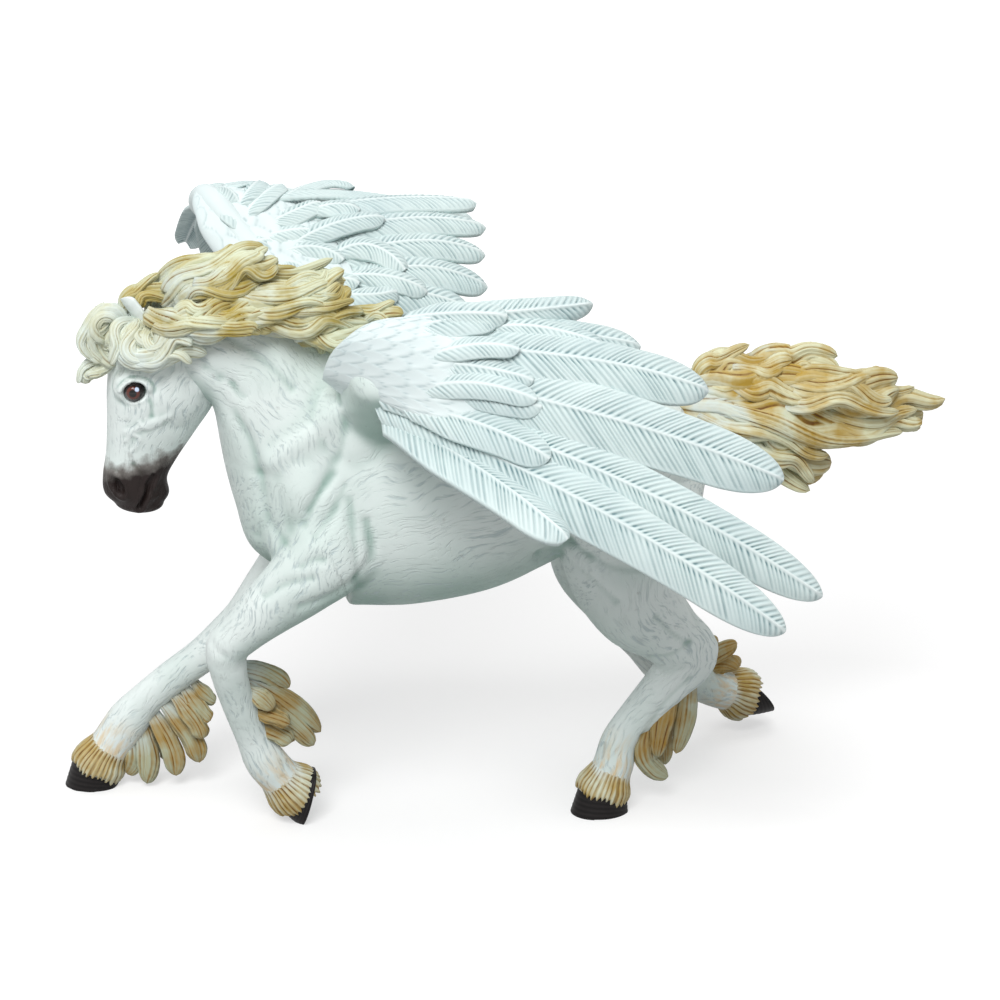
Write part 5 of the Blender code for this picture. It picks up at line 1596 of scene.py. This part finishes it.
def new_group(name: str, inputs: dict[str, object], outputs: dict[str, str]) -> tuple[Tree, object, object]:
    """Start a shader node group.

    Args:
        name: The group's name.
        inputs: Each input's name with its default value, a number, a colour or
            None for a vector.
        outputs: Each output's name with its socket type.

    Returns:
        The group's tree, the sockets that it is given and those that it puts out.
    """
    group = bpy.data.node_groups.new(name, "ShaderNodeTree")
    for label, default in inputs.items():
        kind = "NodeSocketVector" if default is None else "NodeSocketFloat"
        if isinstance(default, tuple):
            kind = "NodeSocketColor"
        socket = group.interface.new_socket(label, in_out="INPUT", socket_type=kind)
        if default is not None:
            socket.default_value = default
    for label, kind in outputs.items():
        group.interface.new_socket(label, in_out="OUTPUT", socket_type=kind)
    tree = Tree(group)
    given, result = group.nodes.new("NodeGroupInput"), group.nodes.new("NodeGroupOutput")
    return tree, given.outputs, result.inputs


def wash_and_painted_shade_group() -> bpy.types.NodeTree:
    """Make the group that lays a thin wash of paint into recesses, and that also lays the coat's painted
    shade on surfaces that face down.

    Returns:
        A group that puts out the colour with its wash and painted shade laid on.
    """
    tree, given, result = new_group(
        "wash_and_painted_shade",
        {"Ground": (1, 1, 1, 1), "Wash": (0.5, 0.5, 0.5, 1), "Recess": 0.0, "Strength": 1.0,
         "Patch Scale": 120.0, "Vector": None},
        {"Color": "NodeSocketColor"})
    patches = tree.noise(given["Vector"], given["Patch Scale"], 4.0, 0.6)
    uneven = tree.value("MULTIPLY_ADD", patches, 1.1)
    uneven.node.inputs[2].default_value = 0.45
    share = tree.value("MULTIPLY", given["Recess"], uneven)
    share = tree.value("MULTIPLY", share, given["Strength"], clamp=True)
    tree.join(tree.mixed(share, given["Ground"], given["Wash"]), result["Color"])
    return tree.tree


def paint_grain_group() -> bpy.types.NodeTree:
    """Make the group for the fine grain of brushed matt paint.

    Returns:
        A group that puts out a roughness and a bump height.
    """
    tree, given, result = new_group(
        "paint_grain",
        {"Low Roughness": 0.4, "High Roughness": 0.6, "Grain Scale": 2600.0, "Vector": None},
        {"Roughness": "NodeSocketFloat", "Height": "NodeSocketFloat"})
    grain = tree.noise(given["Vector"], given["Grain Scale"], 3.0)
    cloud = tree.noise(given["Vector"], 90.0, 2.0)
    total = tree.value("ADD", tree.value("MULTIPLY", grain, 0.3), tree.value("MULTIPLY", cloud, 0.7))
    spread = tree.value("SUBTRACT", given["High Roughness"], given["Low Roughness"])
    rough = tree.value("ADD", tree.value("MULTIPLY", total, spread), given["Low Roughness"])
    tree.join(rough, result["Roughness"])
    tree.join(grain, result["Height"])
    return tree.tree


def hair_stroke_group() -> bpy.types.NodeTree:
    """Make the group for short hair strokes that follow a limb.

    Returns:
        A group that puts out a mask and a bump height.
    """
    tree, given, result = new_group(
        "hair_strokes", {"Flow": None, "Stretch": 0.16, "Closeness": 1.35},
        {"Mask": "NodeSocketFloat", "Height": "NodeSocketFloat"})
    parts = tree.node("SeparateXYZ", Vector=given["Flow"])
    bent = tree.noise(given["Flow"], 0.10, 1.0)
    sway = tree.value("MULTIPLY", tree.value("SUBTRACT", bent, 0.5), 9.0)
    over = tree.value("ADD", parts.outputs["Y"], sway)
    stretched = tree.node("CombineXYZ",
                          X=tree.value("MULTIPLY", parts.outputs["X"], given["Stretch"]),
                          Y=tree.value("MULTIPLY", over, given["Closeness"]),
                          Z=tree.value("MULTIPLY", parts.outputs["Z"], given["Closeness"]))
    dark = tree.ramp(tree.noise(stretched.outputs["Vector"], 1.0, 2.5, 0.65), 0.53, 0.66)
    shown = tree.ramp(tree.noise(given["Flow"], 0.07, 2.0), 0.40, 0.58)
    tree.join(tree.value("MULTIPLY", dark, shown), result["Mask"])
    tree.join(tree.value("SUBTRACT", 1.0, dark), result["Height"])
    return tree.tree


@dataclass(frozen=True)
class Finish:
    """A hand-painted finish on matt vinyl."""

    name: str
    ground: Point
    wash: Point
    low_roughness: float = 0.45
    high_roughness: float = 0.62
    bump: float = 0.25
    gloss: float = 0.22

    def start(self) -> tuple[Material, Tree, bpy.types.Node]:
        """Make an empty painted material.

        Returns:
            The material, its tree and its Principled shader.
        """
        paint = bpy.data.materials.new(self.name)
        paint.use_nodes = True
        paint.diffuse_color = (*self.ground, 1.0)
        shader = paint.node_tree.nodes["Principled BSDF"]
        shader.inputs["Specular IOR Level"].default_value = self.gloss
        return paint, Tree(paint.node_tree), shader

    def washed_and_shaded(self, tree: Tree, ground: object, recess: object, wash: tuple, strength: float,
               scale: float = 120.0) -> Socket:
        """Lay one wash of paint over a ground colour; the coat's painted shade is laid the same way.

        Args:
            tree: The material's tree.
            ground: The colour or socket below.
            recess: Where the layer lies: the wash of paint, and for the coat's shade mask the painted shade.
            wash: The layer's colour, which for the coat's shade mask is the painted shade's colour.
            strength: How much of it there is.
            scale: How fine its patches are.

        Returns:
            The socket of the colour with this layer laid on.
        """
        group = tree.node("Group", node_tree=bpy.data.node_groups["wash_and_painted_shade"])
        for label, given in (("Ground", ground), ("Recess", recess), ("Vector", tree.place())):
            if isinstance(given, Socket):
                tree.join(given, group.inputs[label])
            else:
                group.inputs[label].default_value = given
        group.inputs["Wash"].default_value = (*wash, 1.0)
        group.inputs["Strength"].default_value = strength
        group.inputs["Patch Scale"].default_value = scale
        return group.outputs["Color"]

    def grained(self, tree: Tree, shader: bpy.types.Node, height: object = None,
                depth: float = 0.0001) -> None:
        """Give the shader its paint grain, over an optional relief.

        Args:
            tree: The material's tree.
            shader: The Principled shader.
            height: A relief's height, or None.
            depth: The relief's depth in metres.
        """
        group = tree.node("Group", node_tree=bpy.data.node_groups["paint_grain"])
        group.inputs["Low Roughness"].default_value = self.low_roughness
        group.inputs["High Roughness"].default_value = self.high_roughness
        tree.join(tree.place(), group.inputs["Vector"])
        tree.join(group.outputs["Roughness"], shader.inputs["Roughness"])
        bump = tree.node("Bump", Strength=self.bump, Distance=0.00004)
        tree.join(group.outputs["Height"], bump.inputs["Height"])
        if height is not None:
            relief = tree.node("Bump", Strength=0.8, Distance=depth)
            tree.join(height, relief.inputs["Height"])
            tree.join(relief.outputs["Normal"], bump.inputs["Normal"])
        tree.join(bump.outputs["Normal"], shader.inputs["Normal"])


@dataclass(frozen=True)
class CoatPaint(Finish):
    """White coat with cool washes in its recesses, painted shade on its undersides, hair strokes, a dark
    muzzle and gold fetlocks.
    """

    veil: Point = (0.54, 0.65, 0.61)
    stroke: Point = (0.44, 0.53, 0.54)
    gold: Point = (0.72, 0.50, 0.22)
    muzzle_edge: Point = (0.13, 0.075, 0.055)
    muzzle: Point = (0.016, 0.010, 0.009)

    def make(self) -> Material:
        """Build the material.

        Returns:
            The finished material.
        """
        paint, tree, shader = self.start()
        flow = tree.node("Attribute", attribute_name="flow").outputs["Vector"]
        strokes = tree.node("Group", node_tree=bpy.data.node_groups["hair_strokes"])
        tree.join(flow, strokes.inputs["Flow"])
        hairs = tree.value("MULTIPLY", strokes.outputs["Mask"], tree.mask("limb"))
        veiled = tree.ramp(tree.noise(tree.place(), 34.0, 4.0), 0.46, 0.72, end=0.7)
        colour = tree.mixed(veiled, (*self.ground, 1.0), (*self.veil, 1.0))
        # Painted shade: the coat's wash colour laid over surfaces that face down.
        colour = self.washed_and_shaded(tree, colour, tree.mask("shade"), self.wash, 0.85, 40.0)
        colour = self.washed_and_shaded(tree, colour, tree.mask("recess"), self.wash, 0.85)
        colour = tree.mixed(tree.value("MULTIPLY", hairs, 0.75), colour, (*self.stroke, 1.0))
        stretched = tree.node("Mapping", Vector=flow, Scale=(0.16, 0.8, 0.8)).outputs[0]
        streaks = tree.ramp(tree.noise(stretched, 1.0, 3.0), 0.42, 0.62)
        share = tree.value("MULTIPLY", tree.mask("gold"), streaks)
        colour = tree.mixed(tree.value("MULTIPLY", share, 0.75), colour, (*self.gold, 1.0))
        edge = tree.value("MULTIPLY_ADD", tree.noise(tree.place(), 420.0, 4.0), 0.7)
        edge.node.inputs[2].default_value = -0.35
        dark = tree.ramp(tree.value("ADD", tree.mask("muzzle"), edge), 0.12, 0.78)
        brown = tree.value("MULTIPLY", tree.ramp(dark, 0.0, 0.5), 0.7)
        colour = tree.mixed(brown, colour, (*self.muzzle_edge, 1.0))
        colour = tree.mixed(dark, colour, (*self.muzzle, 1.0))
        tree.join(colour, shader.inputs["Base Color"])
        height = tree.value("MULTIPLY", strokes.outputs["Height"], tree.mask("limb"))
        self.grained(tree, shader, height, 0.00012)
        return paint


@dataclass(frozen=True)
class FeatherPaint(Finish):
    """White feathers with a blue-grey wash between their barbs."""

    veil: Point = (0.49, 0.60, 0.61)
    shaft: Point = (0.92, 0.95, 0.95)

    def make(self) -> Material:
        """Build the material.

        Returns:
            The finished material.
        """
        paint, tree, shader = self.start()
        veiled = tree.ramp(tree.noise(tree.place(), 60.0, 3.0), 0.40, 0.66, end=0.5)
        colour = tree.mixed(veiled, (*self.ground, 1.0), (*self.veil, 1.0))
        recess = tree.value("ADD", tree.value("MULTIPLY", tree.mask("groove"), 0.62),
                            tree.value("MULTIPLY", tree.mask("recess"), 0.9), clamp=True)
        colour = self.washed_and_shaded(tree, colour, recess, self.wash, 0.95, 150.0)
        colour = tree.mixed(tree.value("MULTIPLY", tree.mask("quill"), 0.35), colour, (*self.shaft, 1.0))
        tree.join(colour, shader.inputs["Base Color"])
        self.grained(tree, shader)
        return paint


@dataclass(frozen=True)
class HairPaint(Finish):
    """Cream hair with ochre in its grooves and orange-brown on its tips."""

    deep: Point = (0.15, 0.065, 0.012)
    base: Point = (0.58, 0.65, 0.62)
    gilding: float = 1.0

    def make(self) -> Material:
        """Build the material.

        Returns:
            The finished material.
        """
        paint, tree, shader = self.start()
        place = tree.place()
        shown = tree.ramp(tree.noise(place, 110.0, 3.0), 0.40, 0.60)
        spotted = tree.ramp(tree.noise(place, 260.0, 3.0), 0.42, 0.58)
        groove = tree.mask("groove")

        start = tree.value("ADD", tree.mask("tip"), tree.value("MULTIPLY", shown, 0.3))
        start = tree.ramp(start, 0.10, 0.55)
        colour = tree.mixed(start, (*self.base, 1.0), (*self.ground, 1.0))
        golden = tree.value("ADD", tree.value("MULTIPLY", groove, 0.8), tree.value("MULTIPLY", shown, 0.75))
        golden = tree.value("MULTIPLY", golden, tree.ramp(start, 0.0, 1.0, 0.35), clamp=True)
        colour = self.washed_and_shaded(tree, colour, golden, self.wash, 0.85 * self.gilding, 170.0)
        brown = tree.value("ADD", tree.value("MULTIPLY", spotted, 0.6), tree.value("MULTIPLY", shown, 0.7))
        brown = tree.value("MULTIPLY", tree.ramp(groove, 0.55, 0.95), brown)
        brown = tree.value("ADD", brown, tree.value("MULTIPLY", tree.mask("recess"), 0.6), clamp=True)
        colour = self.washed_and_shaded(tree, colour, brown, self.deep, 0.9 * self.gilding, 240.0)
        tree.join(colour, shader.inputs["Base Color"])
        self.grained(tree, shader)
        return paint


@dataclass(frozen=True)
class HoofPaint(Finish):
    """Satin black hooves, a little lighter on the crests of their ripples."""

    def make(self) -> Material:
        """Build the material.

        Returns:
            The finished material.
        """
        paint, tree, shader = self.start()
        colour = self.washed_and_shaded(tree, (*self.ground, 1.0), tree.mask("ripple"), self.wash, 0.5, 500.0)
        tree.join(colour, shader.inputs["Base Color"])
        self.grained(tree, shader)
        return paint


@dataclass(frozen=True)
class EyePaint(Finish):
    """A black rim, a red-brown iris and a black pupil with a painted blue-white highlight, under clear gloss.
    """

    iris: Point = (0.07, 0.012, 0.008)
    iris_fleck: Point = (0.15, 0.035, 0.02)
    painted_highlight: Point = (0.62, 0.74, 0.95)

    def make(self) -> Material:
        """Build the material.

        Returns:
            The finished material.
        """
        paint, tree, shader = self.start()
        turn = tree.mask("gaze")
        fleck = tree.noise(tree.place(), 2600.0, 2.0)
        iris = tree.mixed(fleck, (*self.iris, 1.0), (*self.iris_fleck, 1.0))
        colour = tree.mixed(tree.ramp(turn, 17.0, 21.0), (*self.ground, 1.0), iris)
        colour = tree.mixed(tree.ramp(turn, 34.0, 39.0), colour, (*self.wash, 1.0))
        # Painted highlight: a blue-white spot where the glint mask is small.
        colour = tree.mixed(tree.ramp(tree.mask("glint"), 14.0, 9.0), colour, (*self.painted_highlight, 1.0))
        tree.join(colour, shader.inputs["Base Color"])
        tree.join(tree.ramp(fleck, 0.0, 1.0, 0.06, 0.12), shader.inputs["Roughness"])
        shader.inputs["Coat Weight"].default_value = 0.35
        shader.inputs["Coat Roughness"].default_value = 0.03
        return paint


@dataclass
class Studio:
    """The floor, the lamps and the camera of the photograph."""

    azimuth: float = -14.0
    elevation: float = 19.0
    distance: float = 0.600
    lens: float = 95.04
    target: Point = (-0.00455, -0.0074, 0.0743)
    floor_tone: Point = (0.48, 0.48, 0.48)
    near_glow: float = 0.55
    glow_range: tuple[float, float] = (0.16, 0.75)
    sky: float = 0.40

    def floor(self) -> Piece:
        """Lay a plain white floor that keeps the object's shadow.

        Returns:
            The floor.
        """
        bpy.ops.object.select_all(action="DESELECT")
        bpy.ops.mesh.primitive_plane_add(size=8.0, location=(0, 0, -0.00005))
        floor = bpy.context.object
        floor.name = "studio_floor"
        paint = bpy.data.materials.new("white_floor")
        paint.use_nodes = True
        tree = Tree(paint.node_tree)
        paint.node_tree.nodes.remove(paint.node_tree.nodes["Principled BSDF"])
        matt = tree.node("BsdfDiffuse", Color=(*self.floor_tone, 1.0))
        away = tree.node("VectorMath", operation="LENGTH")
        tree.join(tree.place(), away.inputs[0])
        paler = tree.ramp(away.outputs["Value"], *self.glow_range, self.near_glow)
        glow = tree.node("Emission", Color=(1, 1, 1, 1), Strength=tree.value("MULTIPLY", tree.seen(), paler))
        both = tree.node("AddShader")
        tree.join(matt.outputs[0], both.inputs[0])
        tree.join(glow.outputs[0], both.inputs[1])
        tree.join(both.outputs[0], paint.node_tree.nodes["Material Output"].inputs["Surface"])
        floor.data.materials.append(paint)
        return floor

    def world(self) -> None:
        """Light the scene softly from all round, before white."""
        world = bpy.data.worlds.new("studio")
        world.use_nodes = True
        bpy.context.scene.world = world
        tree = Tree(world.node_tree)
        back = world.node_tree.nodes["Background"]
        back.inputs["Color"].default_value = (1, 1, 1, 1)
        tree.join(tree.ramp(tree.seen(), 0.0, 1.0, self.sky), back.inputs["Strength"])

    def lamps(self) -> None:
        """Hang a large soft lamp before the figure and a weaker one over it."""
        for name, place, size, power in (("key_lamp", (-0.40, -0.78, 1.02), 0.6, 13.5),
                                         ("top_lamp", (0.15, 0.05, 1.3), 0.8, 4.0)):
            bpy.ops.object.select_all(action="DESELECT")
            bpy.ops.object.light_add(type="AREA", location=place)
            lamp = bpy.context.object
            lamp.name = name
            lamp.data.size = size
            lamp.data.energy = power
            lamp.rotation_euler = (Vector(self.target) - Vector(place)).to_track_quat("-Z", "Y").to_euler()

    def camera(self) -> None:
        """Set the camera at the photograph's angle."""
        turn, rise = math.radians(self.azimuth), math.radians(self.elevation)
        away = Vector((math.sin(turn) * math.cos(rise), -math.cos(turn) * math.cos(rise), math.sin(rise)))
        bpy.ops.object.select_all(action="DESELECT")
        bpy.ops.object.camera_add(location=Vector(self.target) + away * self.distance)
        camera = bpy.context.object
        camera.name = "photo_camera"
        camera.rotation_euler = (-away).to_track_quat("-Z", "Y").to_euler()
        camera.data.lens = self.lens
        camera.data.sensor_width = 36.0
        camera.data.clip_start = 0.01
        bpy.context.scene.camera = camera

    def build(self) -> None:
        """Set the whole stage."""
        self.floor()
        self.world()
        self.lamps()
        self.camera()
        bpy.context.scene.view_settings.view_transform = "Standard"


def dress(piece: Piece, paint: Material) -> None:
    """Paint a piece and let it stand for the moulded figure.

    Args:
        piece: The finished piece.
        paint: Its material.
    """
    piece.data.materials.clear()
    piece.data.materials.append(paint)
    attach(piece, "root")
    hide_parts("pegasus_figurine")
    LOG.info("%s: %d faces in %s", piece.name, len(piece.data.polygons), paint.name)


def with_recesses(piece: Piece, rounds: int, depth: float) -> Piece:
    """Mark a piece's recesses for its wash and return it."""
    write_mask(piece.data, "recess", recesses(piece.data, rounds, depth))
    return piece


def main() -> None:
    """Build every piece, paint it and set the stage."""
    logging.basicConfig(level=logging.INFO, format="%(name)s %(message)s")
    wash_and_painted_shade_group()
    paint_grain_group()
    hair_stroke_group()
    # The coat's second colour is its wash in recesses and also its painted shade on surfaces that face down.
    coat = CoatPaint("white_coat", (0.77, 0.84, 0.82), (0.26, 0.39, 0.34)).make()
    plume = FeatherPaint("white_feathers", (0.63, 0.73, 0.72), (0.15, 0.25, 0.27)).make()
    scales = FeatherPaint("white_shoulder", (0.70, 0.78, 0.78), (0.30, 0.41, 0.43),
                          veil=(0.61, 0.71, 0.72)).make()
    hair = HairPaint("cream_and_gold_hair", (0.68, 0.70, 0.50), (0.42, 0.27, 0.04)).make()
    mane = HairPaint("cream_and_olive_mane", (0.64, 0.69, 0.52), (0.38, 0.28, 0.04)).make()
    pale = HairPaint("pale_forelock", (0.72, 0.80, 0.74), (0.44, 0.39, 0.14), gilding=0.6).make()
    leaf = HairPaint("fetlock_gold", (0.42, 0.46, 0.33), (0.34, 0.19, 0.025), base=(0.54, 0.62, 0.61)).make()
    skirt = HairPaint("pale_fringe", (0.66, 0.70, 0.56), (0.42, 0.28, 0.06), base=(0.72, 0.79, 0.77)).make()
    horn = HoofPaint("satin_black_hoof", (0.010, 0.009, 0.009), (0.030, 0.026, 0.026), 0.40, 0.55,
                     gloss=0.12).make()
    gloss = EyePaint("glossy_eye", (0.004, 0.004, 0.004), (0.010, 0.006, 0.006)).make()

    head = Head()
    for piece in (Body().build(), head.build()):
        dress(piece, coat)
    dress(head.ears(), coat)
    for side in Side:
        dress(Eyes().build(side), gloss)
    for name, shape in zip(("near_hind", "far_fore", "near_fore", "far_hind"), HOOVES):
        dress(Hoof(*shape).build(f"{name}_hoof"), horn)
    for wing in (Wing(Side.NEAR, NEAR_WING, NEAR_COVERTS),
                 Wing(Side.FAR, FAR_WING, FAR_COVERTS, tilt=0.04)):
        for piece in wing.build():
            smoother = piece.name in (f"{wing.name}_shoulder", f"{wing.name}_arm")
            paint = scales if smoother else plume
            dress(with_recesses(piece, rounds=8, depth=0.35), paint)
    for growth, paint in ((Hair("mane", MANE), mane), (Hair("forelock", FORELOCK, share=5), pale),
                          (Hair("tail", TAIL), hair)):
        for piece in growth.build():
            dress(with_recesses(piece, rounds=6, depth=0.3), paint)
    feathering = Feathering()
    for piece, paint in ((feathering.leaves(), leaf), (feathering.fringe(), skirt)):
        dress(with_recesses(piece, rounds=6, depth=0.3), paint)
    Studio().build()


if __name__ == "__main__":
    main()
